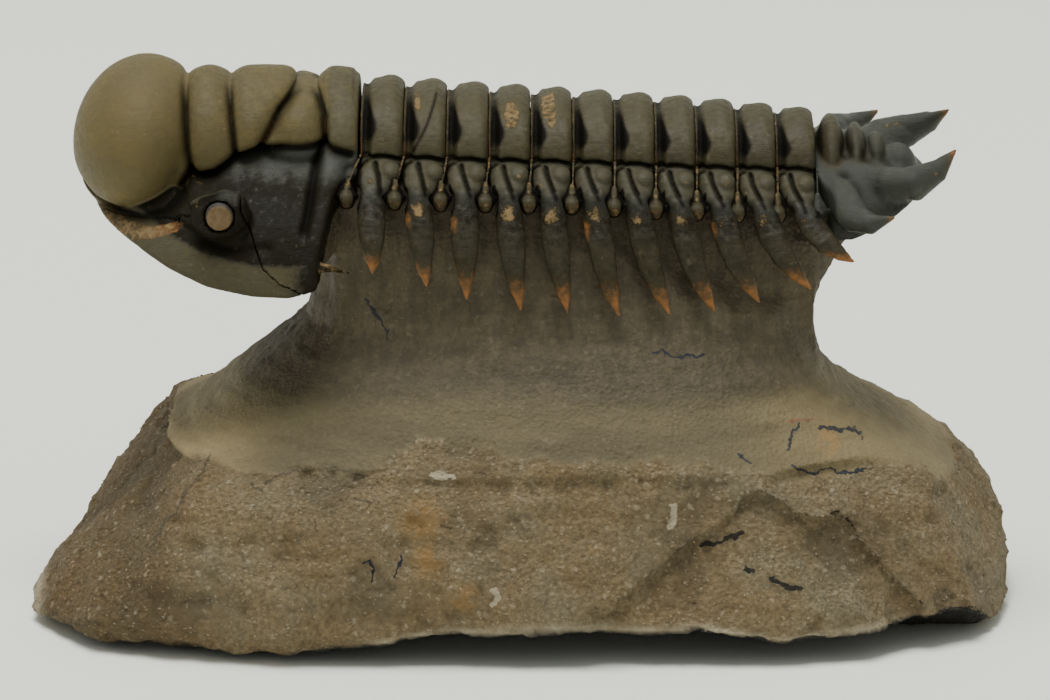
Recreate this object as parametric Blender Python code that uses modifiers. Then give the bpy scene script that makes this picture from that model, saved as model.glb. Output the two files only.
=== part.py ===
"""A fossil trilobite left standing on the limestone block that it was prepared from.

The animal lies along X with its head at -X and its left side at -Y. Its plates are separate pieces, as they
were in life: the middle of the head, two free cheeks with their eyes, eleven hinged rings with their side
spines, and the tail shield. Under them is one block of rock, cut away to a narrow neck.
"""

import math

import bmesh
import bpy
from mathutils import Matrix, Vector, noise

MM = 0.001

# Driving dimensions in millimetres, converted where a mesh is made.
LEAN_HEIGHT = 38.0                # height of the line that the animal leans about
HEAD_LEAN = 7.0                   # how far it leans to its left at the head, in degrees
TAIL_LEAN = 12.0                  # and at the tail
PLATE_GAP = 0.3                   # clear joint between two plates, or a plate and the rock

# The trunk, from the back of the head to the front of the tail shield.
RING_COUNT = 11
TRUNK_START = -14.5
RING_PITCH = 3.8
PITCH_LOSS = 0.0135               # each ring is a little shorter than the one before it
FURROW_HEIGHT = 42.0              # height of the groove beside the axis at the trunk's start
FURROW_FALL = 1.6                 # how much lower that groove is at the tail
AXIS_HALF_WIDTH = 7.4
AXIS_NARROWING = 2.7
AXIS_HEIGHT = 4.2
AXIS_HEIGHT_LOSS = 1.1
FRONT_RISE = 0.6                  # how much higher the axis stands right behind the head
SHOULDER_OUT = 4.3                # from the axis groove out to the bend where the spine begins
SHOULDER_DOWN = 2.4
SPINE_OUT = 3.7                   # from that bend out to the tip
PLATE_THICKNESS = 1.5

WELD_DISTANCE = 1e-6              # metres
TUBE_FACETS = 2
PLATE_SHARP, ROCK_SHARP = 40.0, 25.0     # degrees from which an edge is crisp
ROOM, FAR_BELOW = 60.0, 10.0      # how far the cutting bodies reach up and back, and down
HEAD_REACH = 24.0                 # how far they reach to the sides of the head

MATERIAL_LOOKS = {
    "limestone": ((0.17, 0.14, 0.10), 0.90),
    "shell_olive": ((0.20, 0.16, 0.10), 0.55),
    "shell_dark": ((0.045, 0.045, 0.045), 0.45),
    "eye_calcite": ((0.33, 0.20, 0.10), 0.50),
}


# Scene and modelling helpers

def clear_scene():
    for old in list(bpy.data.objects):
        bpy.data.objects.remove(old)


def make_collection(name, shown=True):
    made = bpy.data.collections.new(name)
    made.hide_render = not shown
    bpy.context.scene.collection.children.link(made)
    return made


def make_material(name):
    colour, roughness = MATERIAL_LOOKS[name]
    material = bpy.data.materials.new(name)
    material.use_nodes = True
    shader = material.node_tree.nodes["Principled BSDF"]
    shader.inputs["Base Color"].default_value = (*colour, 1.0)
    shader.inputs["Roughness"].default_value = roughness
    shader.inputs["Metallic"].default_value = 0.0
    return material


def add_object(name, mesh, collection, parent=None):
    made = bpy.data.objects.new(name, mesh)
    collection.objects.link(made)
    made.parent = parent
    return made


def as_cutter(thing):
    thing.hide_render = True
    thing.display_type = "WIRE"
    return thing


def mesh_of_loft(name, sections, first_cap=True, last_cap=True):
    """A skin over a row of outlines, in mm, that all have the same number of points."""
    made = bmesh.new()
    rings = [[made.verts.new(Vector(p) * MM) for p in section] for section in sections]
    for low, high in zip(rings, rings[1:]):
        for k, corner in enumerate(low):
            beside = (k + 1) % len(low)
            made.faces.new((corner, low[beside], high[beside], high[k]))
    if first_cap:
        made.faces.new(reversed(rings[0]))
    if last_cap:
        made.faces.new(rings[-1])
    bmesh.ops.recalc_face_normals(made, faces=made.faces)
    if first_cap and last_cap and made.calc_volume(signed=True) < 0.0:
        bmesh.ops.reverse_faces(made, faces=made.faces)
    mesh = bpy.data.meshes.new(name)
    made.to_mesh(mesh)
    made.free()
    return mesh


def ellipsoid(name, centre, radii, facets, collection, parent=None, tip_back=0.0):
    """An ellipsoid with facets (around, up) whose top leans back by tip_back degrees."""
    around, rings = facets
    made = bmesh.new()
    bmesh.ops.create_uvsphere(made, u_segments=around, v_segments=rings, radius=1.0)
    mesh = bpy.data.meshes.new(name)
    made.to_mesh(mesh)
    made.free()
    size = Matrix.Diagonal((*[r * MM for r in radii], 1.0))
    spin = Matrix.Rotation(math.radians(tip_back), 4, "Y")
    mesh.transform(Matrix.Translation(Vector(centre) * MM) @ spin @ size)
    return add_object(name, mesh, collection, parent)


def tapered_tube(name, points, radii, collection, parent=None):
    """A round, tapering rod through the points, as a closed mesh. Points and radii are in mm."""
    curve = bpy.data.curves.new(name, "CURVE")
    curve.dimensions = "3D"
    curve.bevel_depth = MM
    curve.bevel_resolution = TUBE_FACETS
    curve.use_fill_caps = True
    line = curve.splines.new("POLY")
    line.points.add(len(points) - 1)
    for place, point, radius in zip(line.points, points, radii):
        place.co = (*[c * MM for c in point], 1.0)
        place.radius = radius
    rod = bpy.data.objects.new(name + "_line", curve)
    collection.objects.link(rod)
    rod.parent = parent
    bpy.context.view_layer.update()
    seen = rod.evaluated_get(bpy.context.evaluated_depsgraph_get())
    mesh = bpy.data.meshes.new_from_object(seen)
    mesh.name = name
    closed = bmesh.new()
    closed.from_mesh(mesh)
    bmesh.ops.remove_doubles(closed, verts=closed.verts, dist=WELD_DISTANCE)
    bmesh.ops.recalc_face_normals(closed, faces=closed.faces)
    closed.to_mesh(mesh)
    closed.free()
    bpy.data.objects.remove(rod)
    return add_object(name, mesh, collection, parent)


def boolean(target, tool, operation):
    modifier = target.modifiers.new(operation.title(), "BOOLEAN")
    modifier.operation = operation
    modifier.solver = "EXACT"
    modifier.object = tool
    return modifier


def applied(thing):
    """Bakes the object's modifiers into its mesh."""
    bpy.context.view_layer.update()
    seen = thing.evaluated_get(bpy.context.evaluated_depsgraph_get())
    baked = bpy.data.meshes.new_from_object(seen)
    thing.modifiers.clear()
    thing.data = baked
    return thing


def fuse(target, tools):
    """Joins the tools into the target, one Boolean union each, and removes them."""
    for tool in tools:
        boolean(target, tool, "UNION")
    applied(target)
    for tool in tools:
        bpy.data.objects.remove(tool)


def mirror_across(thing):
    """The other side of the body, which is the same."""
    mirror = thing.modifiers.new("Mirror", "MIRROR")
    mirror.use_axis = (False, True, False)
    mirror.merge_threshold = WELD_DISTANCE


def smooth(thing, material, sharp_degrees=PLATE_SHARP):
    thing.data.materials.clear()
    thing.data.materials.append(material)
    thing.data.shade_smooth()
    thing.data.set_sharp_from_angle(angle=math.radians(sharp_degrees))


def mix(a, b, t):
    return a + (b - a) * t


def along(table, z):
    """Reads a value from (position, value) pairs by straight lines between them."""
    if z <= table[0][0]:
        return table[0][1]
    for (low, first), (high, last) in zip(table, table[1:]):
        if z <= high:
            return mix(first, last, (z - low) / (high - low))
    return table[-1][1]


# The animal's measures along its length

def ring_edge(i):
    return TRUNK_START + RING_PITCH * i - PITCH_LOSS * i * i


def trunk_share(x):
    """0 at the back of the head, 1 at the front of the tail shield."""
    return (x - TRUNK_START) / (ring_edge(RING_COUNT) - TRUNK_START)


def furrow_z(x):
    return FURROW_HEIGHT - FURROW_FALL * trunk_share(x)


def axis_half_width(x):
    return AXIS_HALF_WIDTH - AXIS_NARROWING * max(0.0, trunk_share(x)) ** 2


def core_height(x):
    """How high the rock inside the axis would stand with no plates over it."""
    return AXIS_HEIGHT - AXIS_HEIGHT_LOSS * max(0.0, trunk_share(x)) ** 3


def axis_height(x):
    return core_height(x) + FRONT_RISE * max(0.0, 1.0 - trunk_share(x)) ** 5


# How far the tip of each spine lies behind its ring's middle, and below the axis groove.
SPINE_TIPS = ((-0.65, 8.2), (0.25, 9.2), (0.0, 10.3), (1.0, 11.2), (1.4, 11.35), (2.2, 11.55), (3.0, 11.2),
              (3.35, 10.7), (3.7, 9.7), (4.7, 8.3), (4.9, 5.6))


def lobe_slant(i):
    """How far the lower end of ring i's side lobe lies behind its upper end."""
    return 0.10 * i - 0.4 - 0.25 * max(0, 2 - i)


def lean_at(x):
    """How far the body leans at x, in radians: the same along the front half, then more towards the tail."""
    share = min(1.0, max(0.0, 2.0 * trunk_share(x) - 1.0))
    return math.radians(mix(HEAD_LEAN, TAIL_LEAN, share))


def lean_matrix(x):
    pivot = Matrix.Translation((0.0, 0.0, LEAN_HEIGHT * MM))
    return pivot @ Matrix.Rotation(lean_at(x), 4, "X") @ pivot.inverted()


def leaning_empty(name, x, collection):
    """An empty whose children are modelled upright and lean as the body does at x."""
    made = bpy.data.objects.new(name, None)
    collection.objects.link(made)
    made.matrix_world = lean_matrix(x)
    return made


# Thoracic rings

def section_frame(before, after):
    """Directions across a rod that runs from before to after: backwards along the body, and outwards."""
    run = (Vector(after) - Vector(before)).normalized()
    back = Vector((1.0, 0.0, 0.0))
    back = (back - back.dot(run) * run).normalized()
    return back, run.cross(back) * -1.0


# The plate's upper outline from front to back: share of the half width, share of the notch below its crest.
TOP_OUTLINE = ((-1.0, -1.0), (-0.62, -0.28), (0.1, 0.0), (0.66, -0.26), (1.0, -1.0))
UNDERSIDE = 0.8                   # share of the half width that the plate's underside takes
# A section is a crest over the middle line, a notch from the crest to the edges, and a thickness below.
HOOP_DEGREES = (0, 33, 66)
HOOP_SECTION = (0.9, 1.15, PLATE_THICKNESS)
HOOP_SINK = 0.9                   # how far the hoop's middle line lies under its surface
GROOVE_SECTION = (0.1, 0.3, 1.0)
# Side lobe: outwards of the axis, up from the groove, share of the slant, half widths as shares, section.
LOBE = ((0.1, -0.6, 0.0, 0.97, 0.97, GROOVE_SECTION), (1.5, -0.8, 0.3, 0.93, 0.93, (0.85, 0.9, 1.0)),
        (2.8, -1.7, 0.6, 0.7, 1.0, (0.7, 0.7, 1.0)))
BEND_OUT = 0.86                   # share of SHOULDER_OUT where the spine begins
BEND_AHEAD, BEND_BEHIND, BEND_SECTION = 0.85, 1.28, (0.6, 0.5, 0.9)
# Down the spine: share of its length, half width, and half thickness.
SPINE_SECTIONS = ((0.17, 1.25, 0.65), (0.55, 1.15, 0.55), (0.83, 0.65, 0.3), (1.0, 0.1, 0.1))
SPINE_BOW = 0.9                   # how far the spine bulges outwards halfway
SPINE_CURL = 0.12                 # and forwards, as a share of its sweep


def ring_stations(i):
    """Half of ring i from the middle of the back out to the spine tip, as
    (place, front half width, back half width, height of the crest, notch, thickness)."""
    front, back = ring_edge(i), ring_edge(i + 1)
    x = (front + back) / 2
    reach = (back - front - PLATE_GAP) / 2
    a, h, z = axis_half_width(x), axis_height(x), furrow_z(x)
    rows = []
    for degrees in HOOP_DEGREES:
        turn = math.radians(degrees)
        place = (x, a * math.sin(turn), z + h * math.cos(turn) - HOOP_SINK)
        rows.append((place, reach, reach, *HOOP_SECTION))
    slant = lobe_slant(i)
    for out, up, share, ahead, behind, section in LOBE:
        rows.append(((x + slant * share, a + out, z + up), reach * ahead, reach * behind, *section))
    bend = (x + slant, a + BEND_OUT * SHOULDER_OUT, z - SHOULDER_DOWN)
    rows.append((bend, BEND_AHEAD, reach * BEND_BEHIND, *BEND_SECTION))
    sweep, drop = SPINE_TIPS[i]
    tip = (x + sweep, a + SHOULDER_OUT + SPINE_OUT, z - drop)
    sag = Vector((-SPINE_CURL * sweep, SPINE_BOW, 0.0))
    for t, width, depth in SPINE_SECTIONS:
        bow = sag * math.sin(math.pi * t)
        place = tuple(mix(b, c, t) + bow[k] for k, (b, c) in enumerate(zip(bend, tip)))
        rows.append((place, width, width, depth, depth, depth))
    return rows


def rod_over_rows(name, rows):
    """Half of a bar that lies across the body, skinned over rows like those of ring_stations."""
    sections = []
    for k, (place, ahead, behind, crest, notch, thick) in enumerate(rows):
        before = rows[max(0, k - 1)][0]
        after = rows[min(len(rows) - 1, k + 1)][0]
        if k == 0:
            before = (after[0], -after[1], after[2])
        back, out = section_frame(before, after)
        outline = [((ahead if s < 0 else behind) * s, crest + notch * n) for s, n in TOP_OUTLINE]
        outline += [(UNDERSIDE * behind, -thick), (-UNDERSIDE * ahead, -thick)]
        centre = Vector(place)
        points = [centre + back * s + out * n for s, n in outline]
        if k == 0:
            points = [Vector((p.x, 0.0, p.z)) for p in points]
        sections.append(points)
    return mesh_of_loft(name, sections, first_cap=False)


def build_rings(collection, material):
    for i in range(RING_COUNT):
        lean = leaning_empty(f"ring_lean_{i + 1:02d}", (ring_edge(i) + ring_edge(i + 1)) / 2, collection)
        mesh = rod_over_rows(f"ring_{i + 1:02d}", ring_stations(i))
        ring = add_object(f"thoracic_segment_{i + 1:02d}", mesh, collection, lean)
        mirror_across(ring)
        smooth(ring, material)


# Head

HEAD_CENTRE = (-18.0, 0.0, 30.0)
HEAD_RADII = (24.4, 18.2, 12.5)
HEAD_BACK = TRUNK_START - 0.2
SHELL = 1.6                       # how thick the head's and tail's plates are over the rock
RIM_DEPTH = 0.9                   # how far the rock under the head stays up inside its rim
# The head's lower edge seen from the side, as x and z.
HEAD_MARGIN = ((-44.0, 38.2), (-39.4, 37.0), (-37.2, 36.0), (-34.0, 34.7), (-31.0, 33.5), (-27.7, 32.6),
               (-23.7, 32.2), (-20.5, 32.3), (-17.5, 33.0), (-12.0, 34.0))
# The facial suture of one side seen from above, as x and distance from the middle.
SUTURE = ((-46.0, 3.6), (-38.5, 4.4), (-35.5, 7.4), (-32.5, 9.8), (-29.4, 11.4), (-27.8, 12.0), (-25.6, 12.0),
          (-24.3, 12.9), (-23.6, 14.4), (-23.2, 15.5), (-22.7, 16.4), (-20.0, 17.6), (-19.0, 22.0))
# The head's rear edge seen from above, as x and distance from the middle.
REAR_EDGE = ((HEAD_BACK, 8.6), (HEAD_BACK - 1.3, 10.0), (HEAD_BACK - 2.0, 11.5), (HEAD_BACK - 2.7, 14.5),
             (HEAD_BACK - 3.3, 16.6), (HEAD_BACK - 3.4, HEAD_REACH))
EYE = (-26.5, 14.1, 38.7)
EYE_RADII = (1.3, 0.9, 1.3)
EYE_OUT = 1.0                     # how far the eye's middle stands out from its hill's
HILL_OFFSET, HILL_RADII = (0.0, -0.4, -0.5), (2.3, 2.0, 2.1)
# Facets of the ellipsoids, around and up.
BROAD, MEDIUM, SMALL = (28, 16), (20, 12), (12, 8)
LOBE_FACETS, TAIL_ROOM_FACETS = (18, 12), (16, 10)

# The glabella's lobes, as (centre, radii, degrees that the top leans back). The cheeks keep clear of the first
# CHEEK_SIDE_LOBES of them. The side lobe is made on both sides.
MIDDLE_LOBES = (
    ((-34.2, 0.0, 41.8), (5.9, 9.5, 6.8), 16.0),
    ((-25.0, 0.0, 40.9), (11.0, 7.3, 6.5), 0.0),
    ((-28.0, 0.0, 41.3), (2.3, 8.0, 6.8), 4.0),
    ((-23.4, 0.0, 41.4), (2.9, 7.6, 6.5), 12.0),
    ((-20.2, 0.0, 42.7), (2.6, 4.0, 5.0), 0.0),
)
CHEEK_SIDE_LOBES = 4
SIDE_LOBE = ((-19.5, 5.0, 42.4), (2.6, 2.9, 3.5), -8.0)


def grown(radii, gap):
    return tuple(r + gap for r in radii)


def side_prism(name, outline, low, high, collection, parent):
    """A closed wall over an outline given as x and y, from z low to z high."""
    sections = [[(x, y, z) for x, y in outline] for z in (low, high)]
    return as_cutter(add_object(name, mesh_of_loft(name, sections), collection, parent))


def below_margin(name, lift, collection, parent):
    """All that lies under the head's lower edge, raised by lift."""
    outline = [(x, z + lift) for x, z in HEAD_MARGIN]
    outline += [(HEAD_MARGIN[-1][0], FAR_BELOW), (HEAD_MARGIN[0][0], FAR_BELOW)]
    sections = [[(x, y, z) for x, z in outline] for y in (-HEAD_REACH, HEAD_REACH)]
    return as_cutter(add_object(name, mesh_of_loft(name, sections), collection, parent))


def behind_head(name, collection, parent):
    outline = [(x, -y) for x, y in reversed(REAR_EDGE)] + list(REAR_EDGE)
    outline += [(ROOM, HEAD_REACH), (ROOM, -HEAD_REACH)]
    return side_prism(name, outline, FAR_BELOW, ROOM, collection, parent)


def head_dome(name, collection, cutters, parent):
    """The dome of the whole head without its raised middle, still solid."""
    dome = ellipsoid(name, HEAD_CENTRE, HEAD_RADII, BROAD, collection, parent)
    boolean(dome, below_margin(name + "_margin", 0.0, cutters, parent), "DIFFERENCE")
    return applied(dome)


def hollow_head(plate, cutters, parent):
    """Takes away the room that the rock fills inside the head."""
    room = ellipsoid(plate.name + "_room", HEAD_CENTRE, grown(HEAD_RADII, -SHELL), MEDIUM, cutters, parent)
    boolean(plate, as_cutter(room), "DIFFERENCE")


def cheek_region(name, side, gap, collection, parent):
    outline = [(x, side * (y - gap)) for x, y in SUTURE] + [(SUTURE[0][0], side * SUTURE[-1][1])]
    if side < 0:
        outline.reverse()
    return side_prism(name, outline, FAR_BELOW, ROOM, collection, parent)


# The ring at the back of the head: its half widths and sections, like those of a trunk ring.
OCCIPITAL_DEGREES = (0, 25, 50, 72)
OCCIPITAL_WIDTH, OCCIPITAL_FOOT, OCCIPITAL_HEIGHT = 7.7, 42.2, 5.0
OCCIPITAL_HALVES, OCCIPITAL_SECTION = (1.7, 1.95), (0.9, 1.15, 2.0)
OCCIPITAL_GROOVE = ((8.3, 41.4), (1.3, 1.9), (0.1, 0.3, 1.6))
# The border that runs from it down to the cheek's corner, at these distances from the middle.
BORDER_PLACES = (10.5, 13.2, 15.4, 17.0)
BORDER_INSET, BORDER_HALVES, BORDER_SECTION = 1.3, (1.2, 1.55), (0.7, 0.9, 1.6)
BORDER_START, BORDER_TOP, BORDER_RUN, BORDER_FALL = 8.0, 40.6, 9.0, 7.6


def occipital_mesh():
    """The ring at the back of the head and the border that runs from it down to the cheek's corner."""
    x = HEAD_BACK - 1.75
    rows = []
    for degrees in OCCIPITAL_DEGREES:
        turn = math.radians(degrees)
        height = OCCIPITAL_FOOT + OCCIPITAL_HEIGHT * math.cos(turn) - HOOP_SINK
        rows.append(((x, OCCIPITAL_WIDTH * math.sin(turn), height), *OCCIPITAL_HALVES, *OCCIPITAL_SECTION))
    (y, z), halves, section = OCCIPITAL_GROOVE
    rows.append(((x, y, z), *halves, *section))
    for y in BORDER_PLACES:
        edge = along([(distance, place) for place, distance in REAR_EDGE], y)
        fall = ((y - BORDER_START) / BORDER_RUN) ** 1.5
        place = (edge - BORDER_INSET, y, BORDER_TOP - BORDER_FALL * fall)
        rows.append((place, *BORDER_HALVES, *BORDER_SECTION))
    return rod_over_rows("occipital_ring", rows)


def build_cheek(dome, side, word, collection, cutters, parent, materials):
    """One free cheek, cut from a copy of the dome, and its eye."""
    cheek = add_object(f"free_cheek_{word}", dome.data.copy(), collection, parent)
    boolean(cheek, cheek_region(f"cheek_region_{word}", side, 0.0, cutters, parent), "INTERSECT")
    for k, (centre, radii, tip_back) in enumerate(MIDDLE_LOBES[:CHEEK_SIDE_LOBES]):
        keep = ellipsoid(f"lobe_room_{word}_{k}", centre, grown(radii, PLATE_GAP), LOBE_FACETS, cutters, parent,
                         tip_back)
        boolean(cheek, as_cutter(keep), "DIFFERENCE")
    applied(cheek)
    place = (EYE[0] + HILL_OFFSET[0], side * (EYE[1] + HILL_OFFSET[1]), EYE[2] + HILL_OFFSET[2])
    fuse(cheek, [ellipsoid(f"eye_hill_{word}", place, HILL_RADII, SMALL, collection, parent)])
    eye_place = (EYE[0], side * (EYE[1] + EYE_OUT), EYE[2])
    socket = ellipsoid(f"eye_socket_{word}", eye_place, grown(EYE_RADII, PLATE_GAP), SMALL, cutters, parent)
    boolean(cheek, as_cutter(socket), "DIFFERENCE")
    hollow_head(cheek, cutters, parent)
    applied(cheek)
    smooth(cheek, materials["shell_dark"])
    eye = ellipsoid(f"eye_{word}", eye_place, EYE_RADII, SMALL, collection, parent)
    smooth(eye, materials["eye_calcite"])


def build_head(collection, cutters, parent, materials):
    dome = head_dome("cranidium", collection, cutters, parent)
    for side, word in ((-1, "left"), (1, "right")):
        build_cheek(dome, side, word, collection, cutters, parent, materials)
        boolean(dome, cheek_region(f"cheek_gap_{word}", side, PLATE_GAP, cutters, parent), "DIFFERENCE")
    applied(dome)
    lobes = [ellipsoid(f"middle_lobe_{k}", centre, radii, LOBE_FACETS, collection, parent, tip_back)
             for k, (centre, radii, tip_back) in enumerate(MIDDLE_LOBES)]
    centre, radii, tip_back = SIDE_LOBE
    for side, word in ((-1, "left"), (1, "right")):
        place = (centre[0], side * centre[1], centre[2])
        lobes.append(ellipsoid(f"side_lobe_{word}", place, radii, SMALL, collection, parent, tip_back))
    border = add_object("occipital_ring", occipital_mesh(), collection, parent)
    mirror_across(border)
    lobes.append(applied(border))
    fuse(dome, lobes)
    hollow_head(dome, cutters, parent)
    boolean(dome, behind_head("head_end", cutters, parent), "DIFFERENCE")
    applied(dome)
    smooth(dome, materials["shell_olive"])


# Tail shield

TAIL_START = ring_edge(RING_COUNT) + PLATE_GAP / 2
# What is cut away before the shield: distance behind TAIL_START, and y.
TAIL_FRONT = ((-20.0, -20.0), (2.0, -20.0), (1.5, -9.5), (0.9, -7.5), (0.0, -5.0), (0.0, 5.0), (0.9, 7.5),
              (1.5, 9.5), (2.0, 20.0), (-20.0, 20.0))
TAIL_CENTRE = (26.5, 0.0, 36.2)
TAIL_RADII = (10.2, 9.2, 4.8)
TAIL_RINGS = (((27.2, 0.0, 39.4), (1.35, 4.6, 3.9)), ((29.4, 0.0, 39.2), (1.15, 3.9, 3.3)),
              ((31.2, 0.0, 39.0), (1.0, 3.1, 2.7)), ((33.0, 0.0, 38.8), (1.6, 2.2, 1.9)))
# Each pair of tail spines: points along its middle, then the half width at each.
TAIL_HORNS = (
    ("first",
     ((27.7, 5.4, 39.2), (28.0, 8.4, 38.8), (28.8, 10.3, 38.1), (30.2, 11.5, 38.0), (32.2, 12.2, 38.9)),
     (1.4, 1.6, 1.5, 1.1, 0.15)),
    ("second", ((30.2, 3.8, 38.8), (32.2, 5.3, 39.1), (34.3, 6.0, 39.5), (36.3, 5.7, 40.5), (38.0, 4.6, 42.1)),
     (1.7, 1.9, 1.6, 1.1, 0.15)),
)


def build_tail(collection, cutters, parent, materials):
    tail = ellipsoid("pygidium", TAIL_CENTRE, TAIL_RADII, MEDIUM, collection, parent)
    square = ((0.0, -ROOM), (ROOM, -ROOM), (ROOM, ROOM), (0.0, ROOM))
    underside = side_prism("tail_underside", square, FAR_BELOW, TAIL_CENTRE[2], cutters, parent)
    boolean(tail, underside, "DIFFERENCE")
    applied(tail)
    extras = [ellipsoid(f"tail_ring_{k}", centre, radii, SMALL, collection, parent)
              for k, (centre, radii) in enumerate(TAIL_RINGS)]
    for word, points, radii in TAIL_HORNS:
        for side in (-1, 1):
            line = [(x, side * y, z) for x, y, z in points]
            extras.append(tapered_tube(f"tail_horn_{word}_{side}", line, radii, collection, parent))
    fuse(tail, extras)
    inside = ellipsoid("tail_room", TAIL_CENTRE, grown(TAIL_RADII, -SHELL), TAIL_ROOM_FACETS, cutters, parent)
    boolean(tail, as_cutter(inside), "DIFFERENCE")
    front = [(TAIL_START + back, y) for back, y in TAIL_FRONT]
    boolean(tail, side_prism("tail_front", front, FAR_BELOW, ROOM, cutters, parent), "DIFFERENCE")
    applied(tail)
    smooth(tail, materials["shell_dark"])


# Rock

# The block's outline at each height, as (z, left x, right x, near y, far y, squareness).
BLOCK_LEVELS = (
    (0.0, -41.0, 41.0, -23.5, 24.0, 0.55),
    (1.2, -44.2, 43.6, -26.8, 27.0, 0.55),
    (2.8, -43.8, 44.0, -28.0, 28.0, 0.52),
    (7.0, -40.6, 43.2, -27.8, 27.6, 0.50),
    (10.0, -38.6, 41.8, -27.0, 26.6, 0.52),
    (13.0, -37.0, 38.2, -26.0, 25.4, 0.55),
    (15.0, -35.0, 35.0, -24.6, 24.0, 0.60),
    (16.7, -30.6, 32.0, -22.6, 22.2, 0.66),
    (18.6, -28.0, 29.2, -20.4, 19.8, 0.70),
    (20.8, -25.6, 27.0, -18.0, 17.4, 0.72),
    (23.0, -22.6, 26.1, -15.9, 15.6, 0.72),
    (25.5, -19.7, 25.3, -13.6, 14.2, 0.68),
    (28.5, -19.0, 25.0, -12.0, 13.2, 0.62),
    (32.0, -19.3, 24.8, -10.6, 12.2, 0.60),
    (35.5, -19.1, 24.2, -9.2, 10.8, 0.60),
)
BLOCK_SIDES = 42
BROKEN_BELOW = 15.5               # under this height the block is as it broke, above it was ground
FOOT_ROUGHNESS, BROKEN_ROUGHNESS, GROUND_ROUGHNESS = 0.6, 1.3, 0.5
BROAD_BUMPS, SMALL_BUMPS, SMALL_SHARE = 0.16, 0.4, 0.6      # bumps per mm, and how strong the small ones are
BUMP_LEVEL = 0.35                 # bumps lower than this are dents, the others are flat
# How the neck reaches back under the tail shield: at each x, half of its outline as y and z.
TAIL_FLARE = (
    (TAIL_START - 0.07,
     ((0.0, 38.2), (3.0, 37.9), (5.0, 37.2), (5.8, 36.4), (6.6, 35.8), (7.4, 34.6), (7.9, 31.6), (7.5, 28.4))),
    (29.4,
     ((0.0, 37.6), (3.0, 37.4), (5.0, 36.9), (5.6, 36.4), (5.9, 35.8), (5.7, 35.3), (4.6, 34.8), (2.6, 34.4))),
)


def block_section(z, left, right, near, far, squareness):
    """One level of the block: a rounded rectangle with a broken edge."""
    middle = Vector(((left + right) / 2, (near + far) / 2, z))
    half = Vector(((right - left) / 2, (far - near) / 2, 0.0))
    roughness = GROUND_ROUGHNESS if z > BROKEN_BELOW else BROKEN_ROUGHNESS
    if z == 0.0:
        roughness = FOOT_ROUGHNESS
    points = []
    for k in range(BLOCK_SIDES):
        turn = math.tau * k / BLOCK_SIDES
        c, s = math.cos(turn), math.sin(turn)
        x = math.copysign(abs(c) ** squareness, c) * half.x
        y = math.copysign(abs(s) ** squareness, s) * half.y
        place = middle + Vector((x, y, 0.0))
        out = Vector((c, s, 0.0))
        bump = noise.noise(place * BROAD_BUMPS) + SMALL_SHARE * noise.noise(place * SMALL_BUMPS)
        points.append(place + out * min(0.0, roughness * (bump - BUMP_LEVEL)))
    return points


# The rock's wall beside the axis and behind the spines: outwards of the axis, and down from the groove.
CORE_WALL = ((-1.2, -2.2), (0.8, -2.7), (2.2, -4.1), (3.0, -5.8), (3.6, -8.8), (3.2, -12.0))
CORE_SHARES = (0.25, 0.5, 0.75, 1.0)
# The core runs into the head: places before and behind the trunk's start, and how much lower it lies there.
CORE_FRONT = ((-2.0, 4.4), (0.05, 4.4), (0.08, 0.0))
CORE_CROWN = 0.5                  # how much lower the core's top is halfway to its side


def trunk_core_mesh():
    """The rock that fills the trunk under the rings and stands close behind the spines."""
    stations = [(TRUNK_START + back, lowered) for back, lowered in CORE_FRONT]
    stations += [(mix(TRUNK_START, ring_edge(RING_COUNT), share), 0.0) for share in CORE_SHARES]
    sections = []
    for x, lowered in stations:
        a, z = axis_half_width(x), furrow_z(x) - lowered
        top = z + core_height(x) - PLATE_THICKNESS - HOOP_SINK - PLATE_GAP
        half = [(0.0, top), (0.5 * a, top - CORE_CROWN)] + [(a + out, z + up) for out, up in CORE_WALL]
        sections.append(leaning_outline(x, half))
    sections += [leaning_outline(x, half) for x, half in TAIL_FLARE]
    return mesh_of_loft("trunk_core", sections)


def leaning_outline(x, half):
    """Half an outline given as y and z, mirrored and leaned as the body is at x."""
    outline = [(x, y, z) for y, z in half] + [(x, -y, z) for y, z in reversed(half[1:])]
    turn = lean_matrix(x)
    return [turn @ (Vector(point) * MM) / MM for point in outline]


def build_rock(collection, cutters, head_lean, tail_lean, materials):
    sections = [block_section(*level) for level in BLOCK_LEVELS]
    rock = add_object("matrix", mesh_of_loft("matrix", sections), collection)
    core = add_object("trunk_core", trunk_core_mesh(), collection)
    inside = -SHELL - PLATE_GAP
    head = ellipsoid("head_core", HEAD_CENTRE, grown(HEAD_RADII, inside), MEDIUM, collection, head_lean)
    boolean(head, below_margin("head_core_margin", RIM_DEPTH, cutters, head_lean), "DIFFERENCE")
    boolean(head, behind_head("head_core_back", cutters, head_lean), "DIFFERENCE")
    applied(head)
    tail_radii = grown(TAIL_RADII, inside)
    tail = ellipsoid("tail_core", TAIL_CENTRE, tail_radii, TAIL_ROOM_FACETS, collection, tail_lean)
    fuse(rock, [core, head, tail])
    smooth(rock, materials["limestone"], ROCK_SHARP)


def main():
    clear_scene()
    fossil = make_collection("trilobite_fossil")
    cutters = make_collection("cutters", shown=False)
    materials = {name: make_material(name) for name in MATERIAL_LOOKS}
    head_lean = leaning_empty("head_lean", TRUNK_START, fossil)
    tail_lean = leaning_empty("tail_lean", TAIL_START, fossil)
    bpy.context.view_layer.update()
    build_rings(fossil, materials["shell_olive"])
    build_head(fossil, cutters, head_lean, materials)
    build_tail(fossil, cutters, tail_lean, materials)
    build_rock(fossil, cutters, head_lean, tail_lean, materials)


main()
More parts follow.
